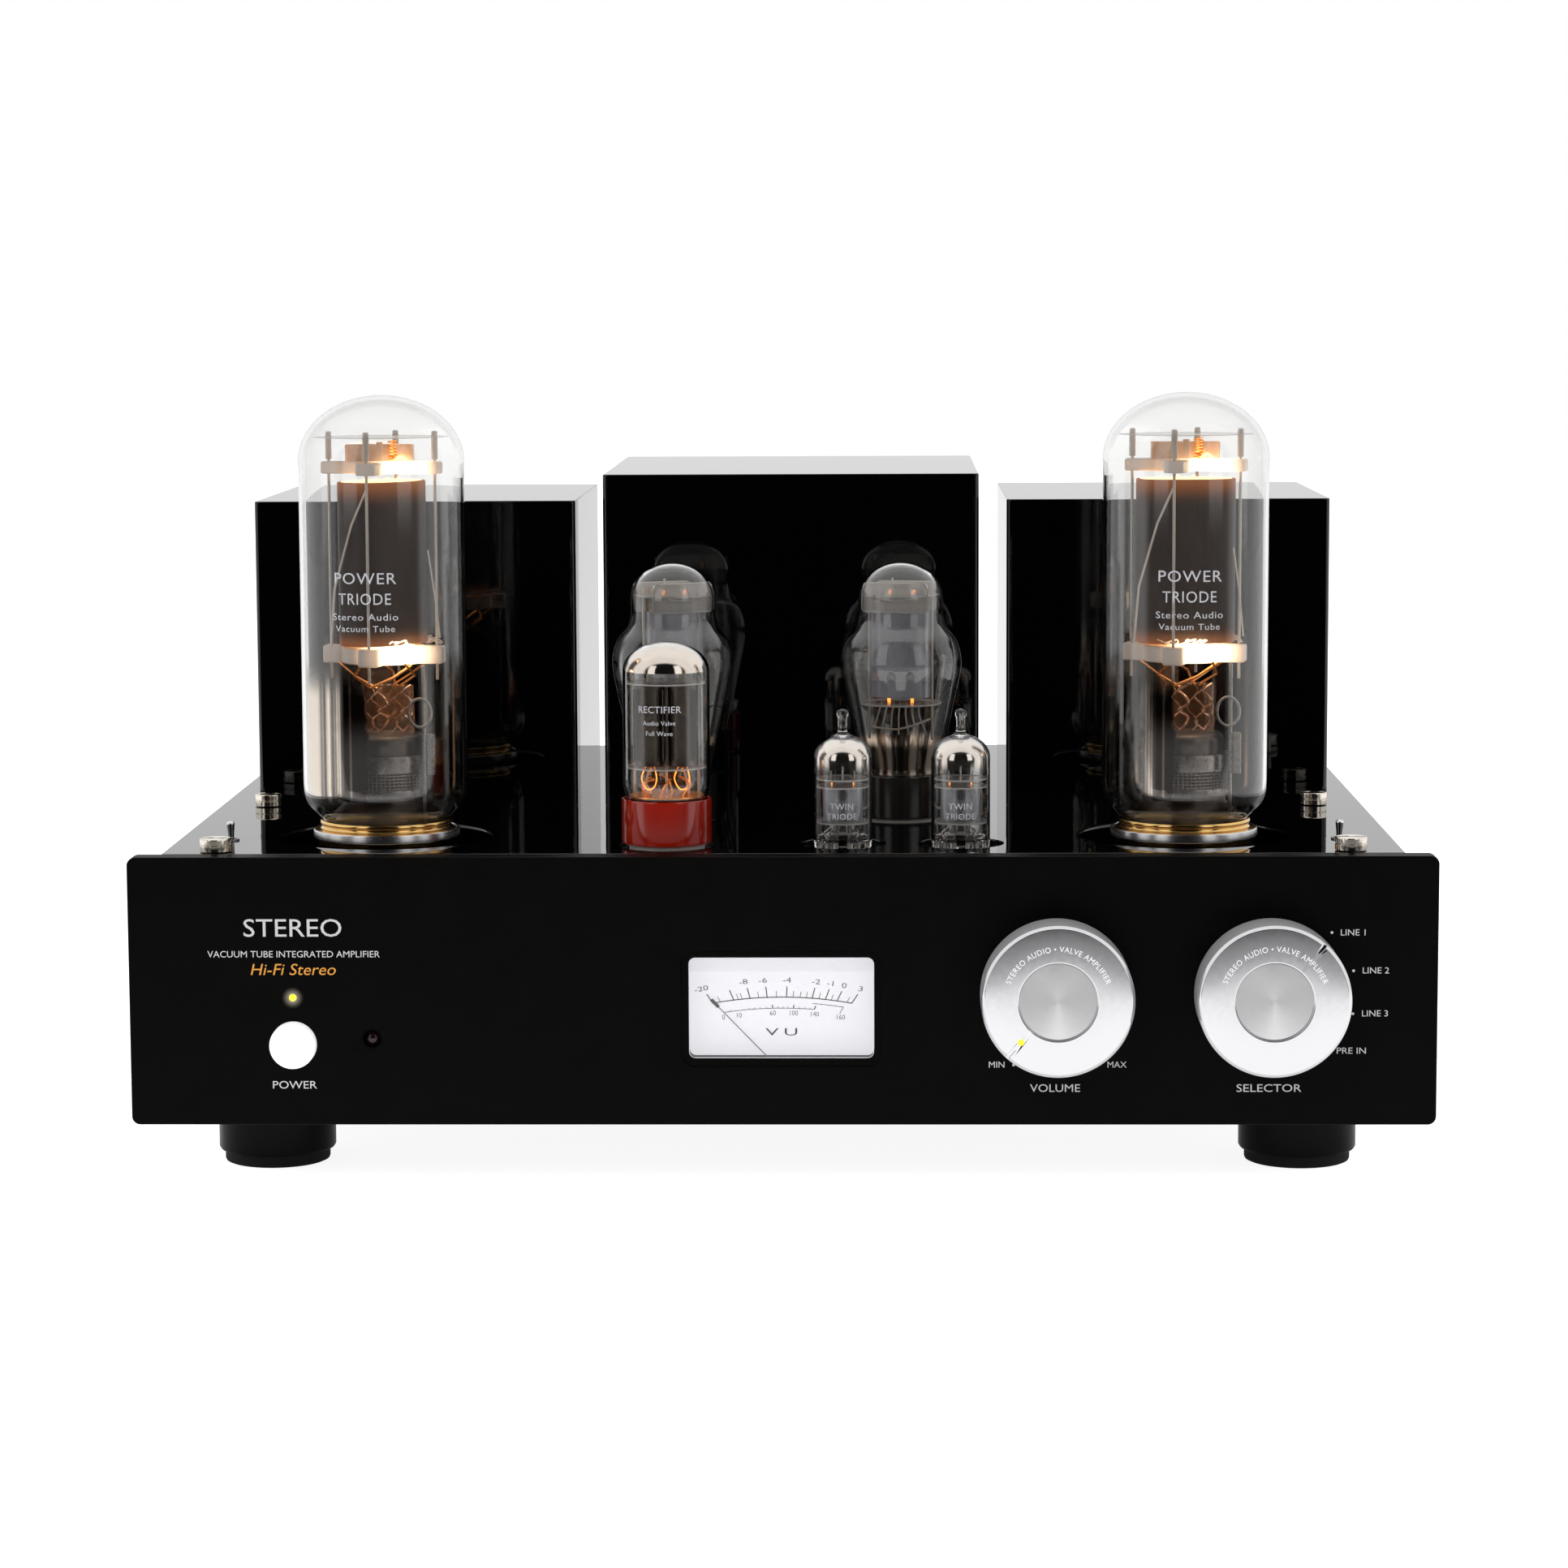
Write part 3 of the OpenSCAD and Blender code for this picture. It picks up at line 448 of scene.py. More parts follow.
    def disc(self, r, low, thick, notches=0, bevel=0.1):
        """A thin spacer, toothed at its edge where notches are given."""
        def rim(inset):
            steps = 120
            points = []
            for i in range(steps):
                tooth = 0.5 if notches and (i * notches // 60) % 2 else 0
                points.append(around(r - inset - tooth, tau * i / steps)[:2])
            return points
        self.slab((rim, [(bevel, low), (0, low + bevel), (0, low + thick - bevel),
            (bevel, low + thick)]), [], lambda u, v, h: (u, v, h))

    def words(self, text, height, place, stretch=1.0, spacing=1.0, thick=0.02):
        """Lettering: height is that of a capital, and place(u, v, w) puts a point in space."""
        data = bpy.data.curves.new("words", "FONT")
        data.body, data.size = text, height / CAPITAL
        data.extrude, data.resolution_u = thick / 2, 3
        data.space_character, data.align_x, data.align_y = spacing, "CENTER", "CENTER"
        thing = bpy.data.objects.new("words", data)
        bpy.context.scene.collection.objects.link(thing)
        bpy.context.view_layer.update()
        drawn = bpy.data.meshes.new_from_object(
            thing.evaluated_get(bpy.context.evaluated_depsgraph_get()))
        corners = self.ring([place(v.co.x * stretch, v.co.y, v.co.z + thick / 2) for v in
            drawn.vertices])
        for polygon in drawn.polygons:
            self.face([corners[i] for i in polygon.vertices])
        bpy.data.objects.remove(thing)
        bpy.data.meshes.remove(drawn)
        bpy.data.curves.remove(data)

    def build(self):
        """Makes the object, puts it under its body's empty and hides the CAD nodes it replaces."""
        if self.merge:
            bmesh.ops.remove_doubles(self.mesh, verts=self.mesh.verts, dist=1e-7)
        if self.normals:
            bmesh.ops.recalc_face_normals(self.mesh, faces=self.mesh.faces)
        data = bpy.data.meshes.new(self.name)
        self.mesh.to_mesh(data)
        self.mesh.free()
        data.shade_smooth()
        data.set_sharp_from_angle(angle=SHARP)
        data.materials.append(LOOKS[self.made])
        thing = bpy.data.objects.new(self.name, data)
        thing.location = self.place
        bpy.context.scene.collection.objects.link(thing)
        if self.weighted:
            thing.modifiers.new("normals", "WEIGHTED_NORMAL").keep_sharp = True
        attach(thing, self.body)
        if self.replaces:
            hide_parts(*self.replaces)
        return thing

    def finish(self):
        """Makes the pieces declared so far, up to this one, into objects in their order."""
        while self in self.waiting:
            thing = self.waiting.pop(0).build()
        return thing


CAPITAL = 0.72          # height of a capital in the built-in lettering, over its size


def on_face(x, z, out=0.0):
    """Puts lettering on a face that looks to the front."""
    return lambda u, v, w: (x + u, -out - w, z + v)


def round_post(r, z, turn=0.0):
    """Puts lettering round an upright glass wall, facing the front."""
    return lambda u, v, w: ((r + w) * sin(u / r + turn), -(r + w) * cos(u / r + turn), z + v)


def round_ring(r, out):
    """Puts lettering round a knob's face."""
    return lambda u, v, w: ((r + v) * sin(u / r), -out - w, (r + v) * cos(u / r))


def flat_front(u, v, w):
    return (u, w, v)


def flat_top(u, v, w):
    return (u, v, -w)


# ---------------------------------------------------------------- materials
def panel_black_material(lamp):
    """Satin black of the panel, with a little of the lamp's light around its hole."""
    made = material("panel_black", (0.0022, 0.0019, 0.0018), 0.42, vary=0.35, scale=900,
        rough_vary=0.05, bump=5e-6, bump_scale=2600, specular=0.05)
    tree, surface = tree_of(made)
    x, _, z = object_place(tree)
    across = tree.minus(x, lamp[0] * MM)
    along = tree.minus(z, lamp[1] * MM)
    away = tree.root(tree.plus(tree.times(across, across), tree.times(along, along)))
    spill = tree.power(tree.ramp(away, 0.0012, 0.0042, 1.0, 0.0), 2.2)
    surface.inputs["Emission Color"].default_value = (1.0, 0.9, 0.72, 1)
    tree.feed(surface.inputs["Emission Strength"], tree.times(spill, 0.35))
    return made


def turned_material(name, colour, roughness, anisotropic, depth, ring_scale):
    """Metal turned on a lathe: fine rings around the piece's own axis, which looks front."""
    made = material(name, colour, roughness, 1.0, vary=0.03, scale=500, rough_vary=0.03,
        anisotropic=anisotropic)
    tree, surface = tree_of(made)
    x, _, z = object_place(tree)
    r = tree.root(tree.plus(tree.times(x, x), tree.times(z, z)))
    relief = tree.add("Bump")
    relief.inputs["Distance"].default_value = depth
    tree.feed(relief.inputs["Height"], tree.noise(r, ring_scale, 3.0, dimensions="1D"))
    tree.feed(surface.inputs["Normal"], relief.outputs[0])
    if anisotropic:
        tree.feed(surface.inputs["Tangent"], tree.add("Tangent", direction_type="RADIAL",
            axis="Y").outputs[0])
    return made


def glass_material(name, tint, roughness=0.0, ripple=3e-6):
    made = material(name, tint, roughness, vary=0.01, scale=60, rough_vary=0.004, transmission=1.0,
        bump=ripple, bump_scale=70)
    return made


def getter_material(name, colour, roughness, top, bottom, streaks=24.0, cover=1.0):
    """The mirror inside a valve: solid at one end, thinning out in streaks to the other."""
    made = material(name, colour, roughness, 1.0, vary=0.12, scale=120, rough_vary=0.03)
    tree, surface = tree_of(made)
    x, y, z = object_place(tree)
    turn = tree.angle(x, y)
    streak = tree.noise(turn, streaks / tau, 3.0, dimensions="1D")
    height = tree.ramp(z, bottom * MM, top * MM, 0.0, 1.0)
    edge_line = tree.plus(height, tree.times(streak, 0.5))
    tree.feed(surface.inputs["Alpha"], tree.times(tree.fade(edge_line, 0.35, 0.85, 0.0, 1.0),
        cover))
    return made


def patch_mirror_material(name, start, end, behind=72.0, haze=0.06, smoke=0.62):
    """The mirror on a power valve's wall, low down: a patch between two angles from the front and
    the wall behind, in upright streaks, with the glass darker towards the bottom under a dark
    brown film, and a haze above."""
    made = material(name, (0.60, 0.52, 0.43), 0.10, 1.0, vary=0.0, scale=120, rough_vary=0.04)
    tree, surface = tree_of(made)
    x, y, z = object_place(tree)
    turn = tree.angle(x, tree.times(y, -1.0))
    streak = tree.noise(turn, 3.6, 3.0, dimensions="1D")
    wander = tree.times(tree.noise(z, 90.0, 2.0, dimensions="1D"), 0.16)
    turn = tree.plus(turn, tree.minus(wander, 0.08))
    start, end = radians(start), radians(end)
    patch = tree.times(tree.fade(turn, start, start + 0.10), tree.fade(turn, end - 0.07, end, 1.0,
        0.0))
    back = radians(behind)
    rear = tree.fade(tree.size(turn), back, back + 0.15)
    patch = tree.most(patch, rear)
    low = tree.fade(z, 0.0145, 0.0165)
    patch = tree.times(patch, low)
    patch = tree.times(patch, tree.fade(z, 0.052, 0.068, 1.0, 0.0))
    thin = tree.fade(z, 0.09, 0.15, haze, 0.0)
    # Below the patch the glass is darker: a dark brown film at the bottom.
    thin = tree.most(thin, tree.ramp(low, 0.0, 1.0, smoke, 0.0))
    tree.feed(surface.inputs["Alpha"], tree.most(patch, thin))
    tree.feed(surface.inputs["Metallic"], patch)
    lean = tree.ramp(turn, radians(-90), radians(-10), 0.20, -0.06)
    bright = tree.fade(tree.plus(streak, lean), 0.46, 0.60)
    tree.feed(surface.inputs["Base Color"], tree.mix(tree.times(bright, patch),
        (0.022, 0.012, 0.008, 1), (0.74, 0.64, 0.54, 1)))
    return made


def painted_glow_ceramic_material(name, spot, near, far, strength):
    """White ceramic with a painted glow of the filament's light around a spot, which is in
    millimetres from the axis.
    """
    made = material(name, (0.86, 0.80, 0.74), 0.4, vary=0.05, scale=500, bump=6e-6)
    tree, surface = tree_of(made)
    x, y, z = object_place(tree)
    total = 0.0
    for axis, value in zip((x, y, z), spot):
        step = tree.minus(axis, value * MM)
        total = tree.plus(tree.times(step, step), total)
    away = tree.root(total)
    # heat is a painted glow of the filament's light, strongest at the spot; the 0.06 added below
    # paints a faint glow all over.
    heat = tree.fade(away, near * MM, far * MM, 1.0, 0.0)
    tree.feed(surface.inputs["Emission Color"], tree.mix(heat, (1.0, 0.55, 0.30, 1),
        (1.0, 0.78, 0.45, 1)))
    tree.feed(surface.inputs["Emission Strength"], tree.plus(tree.times(heat, strength), 0.06))
    return made


def glow_material(name, colour, strength, base=(0.3, 0.12, 0.05)):
    return material(name, base, 0.5, vary=0.15, scale=700, bump=4e-6, glow=colour,
        strength=strength)


lamp_x, lamp_z = middle("power_led")[::2]

panel_black_material((lamp_x, lamp_z))
material("gloss_black", (0.0012, 0.0012, 0.0014), 0.018, vary=0.3, scale=40, rough_vary=0.008,
    bump=4e-7, bump_scale=90)
material("cover_black", (0.0006, 0.0006, 0.0007), 0.02, vary=0.3, scale=40, rough_vary=0.01,
    bump=4e-7, bump_scale=90)
material("chassis_black", (0.012, 0.011, 0.011), 0.42, vary=0.25, scale=700, bump=1e-5,
    bump_scale=1600, specular=0.35)
material("foot_black", (0.0022, 0.0010, 0.0008), 0.24, vary=0.2, scale=300, rough_vary=0.05,
    specular=0.10)
material("rubber_black", (0.004, 0.0035, 0.0035), 0.75, vary=0.2, scale=900, bump=2e-5,
    bump_scale=1500, specular=0.3)
# The lettering's emission below is a faint painted glow, white or orange, that makes the print
# read brighter than its lighting.
material("print_white", (0.62, 0.62, 0.64), 0.5, vary=0.05, scale=3000, bump=2e-6, glow=(1, 1, 1),
    strength=0.04)
material("print_orange", (0.75, 0.33, 0.05), 0.5, vary=0.06, scale=3000, bump=2e-6,
    glow=(1.0, 0.42, 0.06), strength=0.06)
material("knob_print", (0.93, 0.93, 0.94), 0.45, vary=0.04, scale=3000, bump=1e-6, glow=(1, 1, 1),
    strength=0.18)
material("valve_print", (0.72, 0.72, 0.76), 0.55, vary=0.2, scale=1800, bump=2e-6, alpha=0.75)
turned_material("knob_face", (0.80, 0.80, 0.82), 0.11, 0.0, 2.5e-7, 9000)
material("knob_side", (0.55, 0.55, 0.56), 0.5, 0.5, vary=0.05, scale=500, stretch=(1, 20, 1),
    rough_vary=0.03, bump=4e-7)
turned_material("knob_inlay", (0.80, 0.80, 0.81), 0.30, 0.8, 6e-7, 7000)
# The button's emission is a painted glow that makes its white read brighter than its lighting.
material("button_white", (0.88, 0.88, 0.88), 0.3, vary=0.01, scale=800, bump=1e-6, glow=(1, 1, 1),
    strength=0.5)
material("lamp_yellow", (0.9, 0.75, 0.05), 0.3, vary=0.05, scale=2500, bump=2e-6,
    glow=(1.0, 0.86, 0.02), strength=1.3)
material("eye_dark", (0.012, 0.004, 0.005), 0.06, vary=0.3, scale=900, bump=1e-6)
material("dial_white", (0.9, 0.89, 0.9), 0.55, vary=0.01, scale=1500, bump=1e-6,
    glow=(0.97, 0.96, 1.0), strength=0.66)
material("dial_print", (0.02, 0.02, 0.022), 0.6, vary=0.3, scale=4000, bump=1e-6)
material("dial_grey", (0.06, 0.06, 0.065), 0.6, vary=0.3, scale=4000, bump=1e-6)
material("needle_black", (0.06, 0.06, 0.06), 0.35, vary=0.2, scale=2000, bump=1e-6)
glass_material("clear_lens", (0.98, 0.98, 0.99), 0.0, 1e-7)
glass_material("valve_glass", (0.985, 0.985, 0.98))
glass_material("small_valve_glass", (0.985, 0.98, 0.97), ripple=2e-6)
# The pinch's glass, with a faint painted orange glow of the filament's light.
material("pinch_glass", (0.97, 0.86, 0.80), 0.04, vary=0.06, scale=400, rough_vary=0.08,
    transmission=1.0, bump=2e-5, bump_scale=300, glow=(1.0, 0.45, 0.2), strength=0.015)
material("brass_gold", (0.86, 0.55, 0.20), 0.16, 1.0, vary=0.08, scale=260, stretch=(1, 1, 6),
    rough_vary=0.06, bump=1e-6)
material("collar_aluminium", (0.74, 0.73, 0.74), 0.24, 1.0, vary=0.06, scale=500,
    stretch=(1, 1, 9), rough_vary=0.05, bump=1.5e-6)
material("ceramic_white", (0.78, 0.74, 0.68), 0.35, vary=0.05, scale=700, bump=6e-6)
# The power valves' ceramic spacers, with a painted glow of the filament's light near it.
painted_glow_ceramic_material("upper_ceramic", (8.0, -4.0, 133.5), 5.0, 15.0, 3.4)
painted_glow_ceramic_material("lower_ceramic", (6.0, -10.0, 68.0), 5.0, 17.0, 3.2)
material("graphite", (0.085, 0.066, 0.058), 0.55, vary=0.22, scale=1200, stretch=(1, 1, 0.12),
    rough_vary=0.1, bump=1.2e-5, bump_scale=1500)
# Painted glow: orange light painted on the anode's top and bottom ends, standing in for the
# filament's light falling there.
graphite_tree, graphite_surface = tree_of(LOOKS["graphite"])
graphite_z = object_place(graphite_tree)[2]
painted_end_glow = graphite_tree.most(graphite_tree.fade(graphite_z, 0.119, 0.1305), graphite_tree.fade(graphite_z, 0.071, 0.079,
    1.0, 0.0))
graphite_surface.inputs["Emission Color"].default_value = (1.0, 0.30, 0.07, 1)
graphite_tree.feed(graphite_surface.inputs["Emission Strength"], graphite_tree.times(graphite_tree.power(painted_end_glow,
    2.0), 0.22))
material("nickel", (0.62, 0.58, 0.54), 0.28, 1.0, vary=0.12, scale=700, rough_vary=0.1, bump=5e-7)
material("dark_metal", (0.16, 0.13, 0.11), 0.35, 0.8, vary=0.2, scale=700, rough_vary=0.1,
    bump=4e-6)
material("rod_metal", (0.78, 0.70, 0.62), 0.42, 0.3, vary=0.08, scale=700, rough_vary=0.1,
    bump=5e-7)
material("strap_metal", (0.40, 0.35, 0.32), 0.3, 0.8, vary=0.12, scale=700, rough_vary=0.1,
    bump=1e-6)
# The wires in the pinch, with a painted orange glow of the filament's light.
material("pinch_wire", (0.60, 0.46, 0.40), 0.22, 1.0, vary=0.25, scale=500, rough_vary=0.08,
    bump=1e-6, glow=(1.0, 0.4, 0.15), strength=0.05)
# Copper with a painted orange glow, standing in for the light of the filaments and heaters near
# it.
material("copper_lead", (0.95, 0.42, 0.16), 0.25, 1.0, vary=0.15, scale=800, rough_vary=0.08,
    bump=2e-6, glow=(1.0, 0.32, 0.06), strength=0.10)
material("mica", (0.86, 0.83, 0.79), 0.22, vary=0.06, scale=900, rough_vary=0.1, bump=3e-6,
    alpha=0.5, specular=0.8)
glow_material("filament", (1.0, 0.40, 0.08), 9.0)
# A painted glow: an orange ring inside the anode's top, standing in for the filament's light on
# it.
glow_material("hot_rim", (1.0, 0.62, 0.30), 2.6)
glow_material("heater", (1.0, 0.28, 0.04), 2.4)
material("base_red", (0.29, 0.009, 0.002), 0.14, vary=0.08, scale=200, rough_vary=0.04, bump=8e-7,
    coat=0.4)
material("base_black", (0.008, 0.007, 0.006), 0.16, vary=0.2, scale=200, rough_vary=0.04,
    bump=8e-7)
material("socket_black", (0.015, 0.014, 0.014), 0.45, vary=0.2, scale=600, bump=8e-6)
material("cap_chrome", (0.86, 0.80, 0.70), 0.14, 1.0, vary=0.06, scale=500, rough_vary=0.05,
    bump=1e-6)
material("lever_chrome", (0.82, 0.82, 0.82), 0.10, 1.0, vary=0.05, scale=600, rough_vary=0.04,
    bump=1e-6)
# Bracket metal with a painted orange glow of the filament's light.
material("hot_metal", (0.70, 0.58, 0.50), 0.35, 0.6, vary=0.12, scale=500, bump=2e-6,
    glow=(1.0, 0.55, 0.3), strength=0.12)
material("mica_edge", (0.88, 0.85, 0.81), 0.3, vary=0.06, scale=900, bump=3e-6, alpha=0.85,
    specular=0.8)
patch_mirror_material("left_mirror", -100.0, -4.0)
patch_mirror_material("right_mirror", -38.0, -9.0)
getter_material("top_mirror", (0.84, 0.75, 0.67), 0.09, 63.0, 58.0, 9.0)
getter_material("low_mirror", (0.74, 0.60, 0.48), 0.12, 24.0, 33.0, 14.0)
getter_material("small_mirror", (0.84, 0.78, 0.72), 0.08, 36.0, 25.0, 11.0)


# ---------------------------------------------------------------- front panel
panel_lo, panel_hi = span("front_panel")
PANEL_W, PANEL_H = panel_hi[0] - panel_lo[0], panel_hi[2] - panel_lo[2]
PANEL_T = panel_hi[1] - panel_lo[1]
lens_lo, lens_hi = span("meter_lens")
WINDOW_W, WINDOW_H = lens_hi[0] - lens_lo[0] + 0.2, lens_hi[2] - lens_lo[2] + 0.2
WINDOW_Z = (lens_lo[2] + lens_hi[2]) / 2
BEZEL, BEZEL_DEPTH = 2.6, 1.0
VOLUME_X, KNOB_Z = middle("volume_knob")[::2]
SELECTOR_X = middle("selector_knob")[0]
BUTTON_X, BUTTON_Z = middle("power_button")[::2]
EYE_X = middle("ir_receiver")[0]
EYE_Z = KNOB_Z - 16.7
VOLUME_MARK, SELECTOR_MARK = -137.5, 41.0
KNOB_LAMP_R = 19.3


def make_panel():
    panel = Piece("front_panel_plate", "panel_black", "chassis", "satin_black", ["front_panel"],
        weighted=True)
    window = [(-BEZEL - 0.5, 0), (-BEZEL - 0.15, 0.15), (-BEZEL, 0.5), (-BEZEL, BEZEL_DEPTH - 0.3),
        (-BEZEL + 0.3, BEZEL_DEPTH), (-0.4, BEZEL_DEPTH), (-0.1, BEZEL_DEPTH + 0.1),
        (0, BEZEL_DEPTH + 0.4), (0, PANEL_T)]
    holes = [(rounded_rect(0, WINDOW_Z, WINDOW_W, WINDOW_H, 2.4), window)]
    for x, z, r, bevel in ((BUTTON_X, BUTTON_Z, 8.33, 0.4), (lamp_x, lamp_z, 1.35, 0.15),
            (VOLUME_X, KNOB_Z, 4.0, 0.2), (SELECTOR_X, KNOB_Z, 4.0, 0.2)):
        holes.append((circle(x, z, r, 64), edge(0, PANEL_T, bevel, hole=True, back_bevel=0.1)))
    holes.append((circle(EYE_X, EYE_Z, 3.0, 64), [(-1.3, 0), (-1.2, 0.05), (-0.2, 1.0), (0, 1.3),
        (0, PANEL_T)]))
    panel.slab((rounded_rect(0, (panel_lo[2] + panel_hi[2]) / 2, PANEL_W, PANEL_H, 3.0, 10),
        edge(0, PANEL_T, 0.7, steps=4)), holes, flat_front)

    prints = Piece("panel_lettering", "print_white", "chassis", "satin_black", merge=False)
    caps = 2.85
    for words, x, z, height, stretch in (("POWER", -173.9, -82.0, caps, 1.17),
            ("VOLUME", 97.3, -83.2, caps, 1.16), ("SELECTOR", 173.0, -83.2, caps, 1.25),
            ("MIN", 76.5, -74.7, 2.3, 1.04), ("MAX", 119.1, -74.7, 2.3, 1.02),
            ("LINE 1", 202.5, -27.3, 2.3, 1.08), ("LINE 2", 210.4, -40.9, 2.3, 1.08),
            ("LINE 3", 210.3, -56.3, 2.3, 1.08), ("PRE IN", 202.1, -69.7, 2.3, 1.16),
            ("STEREO", -173.6, -25.6, 6.6, 1.12)):
        prints.words(words, height, on_face(x, z), stretch)
    prints.words("VACUUM TUBE INTEGRATED AMPLIFIER", 2.4, on_face(-173.4, -34.8), 1.03)
    for x, z in ((82.5, -74.7), (112.6, -74.7), (194.8, -27.2), (202.6, -40.9), (202.5, -56.3),
            (194.9, -69.7)):
        prints.lathe([(0, 0.0), (0.5, 0.0), (0.5, 0.02), (0, 0.02)], 20, (x, 0, z), axis="y")

    model = Piece("panel_orange_lettering", "print_orange", "chassis", "satin_black", merge=False)
    slant = 0.22
    model.words("Hi-Fi Stereo", 4.2, lambda u, v, w: (-173.5 + u + slant * v, -w, -40.4 + v), 1.07)

    lamp = Piece("power_lamp", "lamp_yellow", "chassis", replaces=["power_led"],
        place=(lamp_x, 0, lamp_z))
    lamp.lathe([(0, -10), (1.25, -10), (1.25, -0.1), (1.0, 0.22), (0.5, 0.29), (0, 0.3)], 40,
        axis="y")

    eye = Piece("receiver_eye", "eye_dark", "chassis", replaces=["ir_receiver"],
        place=(EYE_X, 0, EYE_Z))
    eye.lathe([(0, -13), (2.9, -13), (2.9, -3.6), (2.2, -2.3), (1.2, -1.75), (0, -1.6)], 48,
        axis="y")

    front, back = span("power_button")[0][1], span("power_button")[1][1]
    button = Piece("power_button_cap", "button_white", "power_button", replaces=["power_button"],
        weighted=True, place=(BUTTON_X, 0, BUTTON_Z))
    button.lathe([(0, -back), (3, -back), (3, -PANEL_T), (8.25, -PANEL_T), (8.25, -front - 0.9),
        (8.05, -front - 0.35), (7.6, -front - 0.08), (7.0, -front), (0, -front)], 96, axis="y")


def carve(piece, cutter):
    """Cuts one made object out of another and removes it."""
    modifier = piece.modifiers.new("carve", "BOOLEAN")
    modifier.operation, modifier.object, modifier.solver = "DIFFERENCE", cutter, "EXACT"
    bpy.context.view_layer.update()
    cut = bpy.data.meshes.new_from_object(
        piece.evaluated_get(bpy.context.evaluated_depsgraph_get()))
    piece.modifiers.clear()
    piece.data = cut
    cut.set_sharp_from_angle(angle=radians(30))
    bpy.data.objects.remove(cutter)
    piece.modifiers.new("normals", "WEIGHTED_NORMAL").keep_sharp = True


def make_knob(name, x, mark, lamp):
    """A knob: its body, the turned inlay in its face, its ring of lettering and its mark."""
    r, face, gap = 27.0, 19.98, 1.0
    knob = Piece(name + "_knob_body", "knob_face", name, "knob_aluminium", [name + "_knob"],
        weighted=True, place=(x, 0, KNOB_Z))
    knob.lathe([(3.05, gap), (r - 0.6, gap), (r - 0.15, gap + 0.15), (r, gap + 0.6),
        (r, face - 1.35), (r - 0.1, face - 1.1), (r - 1.0, face - 0.12), (r - 1.25, face),
        (14.25, face), (13.95, face - 0.08), (13.78, face - 0.35), (13.75, face - 1.3),
        (3.05, face - 1.3)], 160, axis="y", closed=True)
    body = knob.finish()
    body.data.materials.append(LOOKS["knob_side"])
    for polygon in body.data.polygons:
        if hypot(polygon.center.x, polygon.center.z) > (r - 0.3) * MM:
            polygon.material_index = 1
    turn = Matrix.Rotation(radians(mark), 3, "Y")
    lamp_place = tuple(turn @ Vector((0, 0, KNOB_LAMP_R)))
    cutter = Piece("cutter", "knob_face", name, "knob_aluminium", place=(x, 0, KNOB_Z))
    cutter.box((-0.7, -face - 1, 22.6), (0.7, -face + 0.8, 28), 0.2, turn)
    if lamp:
        cutter.lathe([(0, face - 2), (1.2, face - 2), (1.2, face + 1), (0, face + 1)], 32,
            lamp_place, axis="y")
    carve(body, cutter.finish())
    inlay = Piece(name + "_knob_inlay", "knob_inlay", name, "knob_aluminium", weighted=True,
        place=(x, 0, KNOB_Z))
    inlay.lathe([(0, face - 1.31), (13.7, face - 1.31), (13.7, face - 1.27), (13.4, face - 1.2),
        (0, face - 1.2)], 128, axis="y")
    ring = Piece(name + "_knob_lettering", "knob_print", name, "knob_aluminium", merge=False,
        place=(x, 0, KNOB_Z))
    ring.words("STEREO AUDIO • VALVE AMPLIFIER", 2.05, round_ring(18.7, face), 0.92, 1.12, 0.015)
    if lamp:
        light = Piece(name + "_knob_lamp", "lamp_yellow", name, place=(x, 0, KNOB_Z))
        light.lathe([(0, face - 1.95), (1.15, face - 1.95), (1.15, face - 0.2), (0.8, face - 0.02),
            (0, face)], 32, lamp_place, axis="y")


make_panel()
make_knob("volume", VOLUME_X, VOLUME_MARK, True)
make_knob("selector", SELECTOR_X, SELECTOR_MARK, False)


# ---------------------------------------------------------------- level meter
DIAL_FRONT = span("meter_dial")[0][1]
PIVOT_Z = -79.0
ARC_R, ARC_TOP = 140.0, -52.15
NEEDLE_REST = -44


def arc_point(x, drop=0.0):
    return x, ARC_TOP - drop - (ARC_R - sqrt(ARC_R ** 2 - x ** 2))


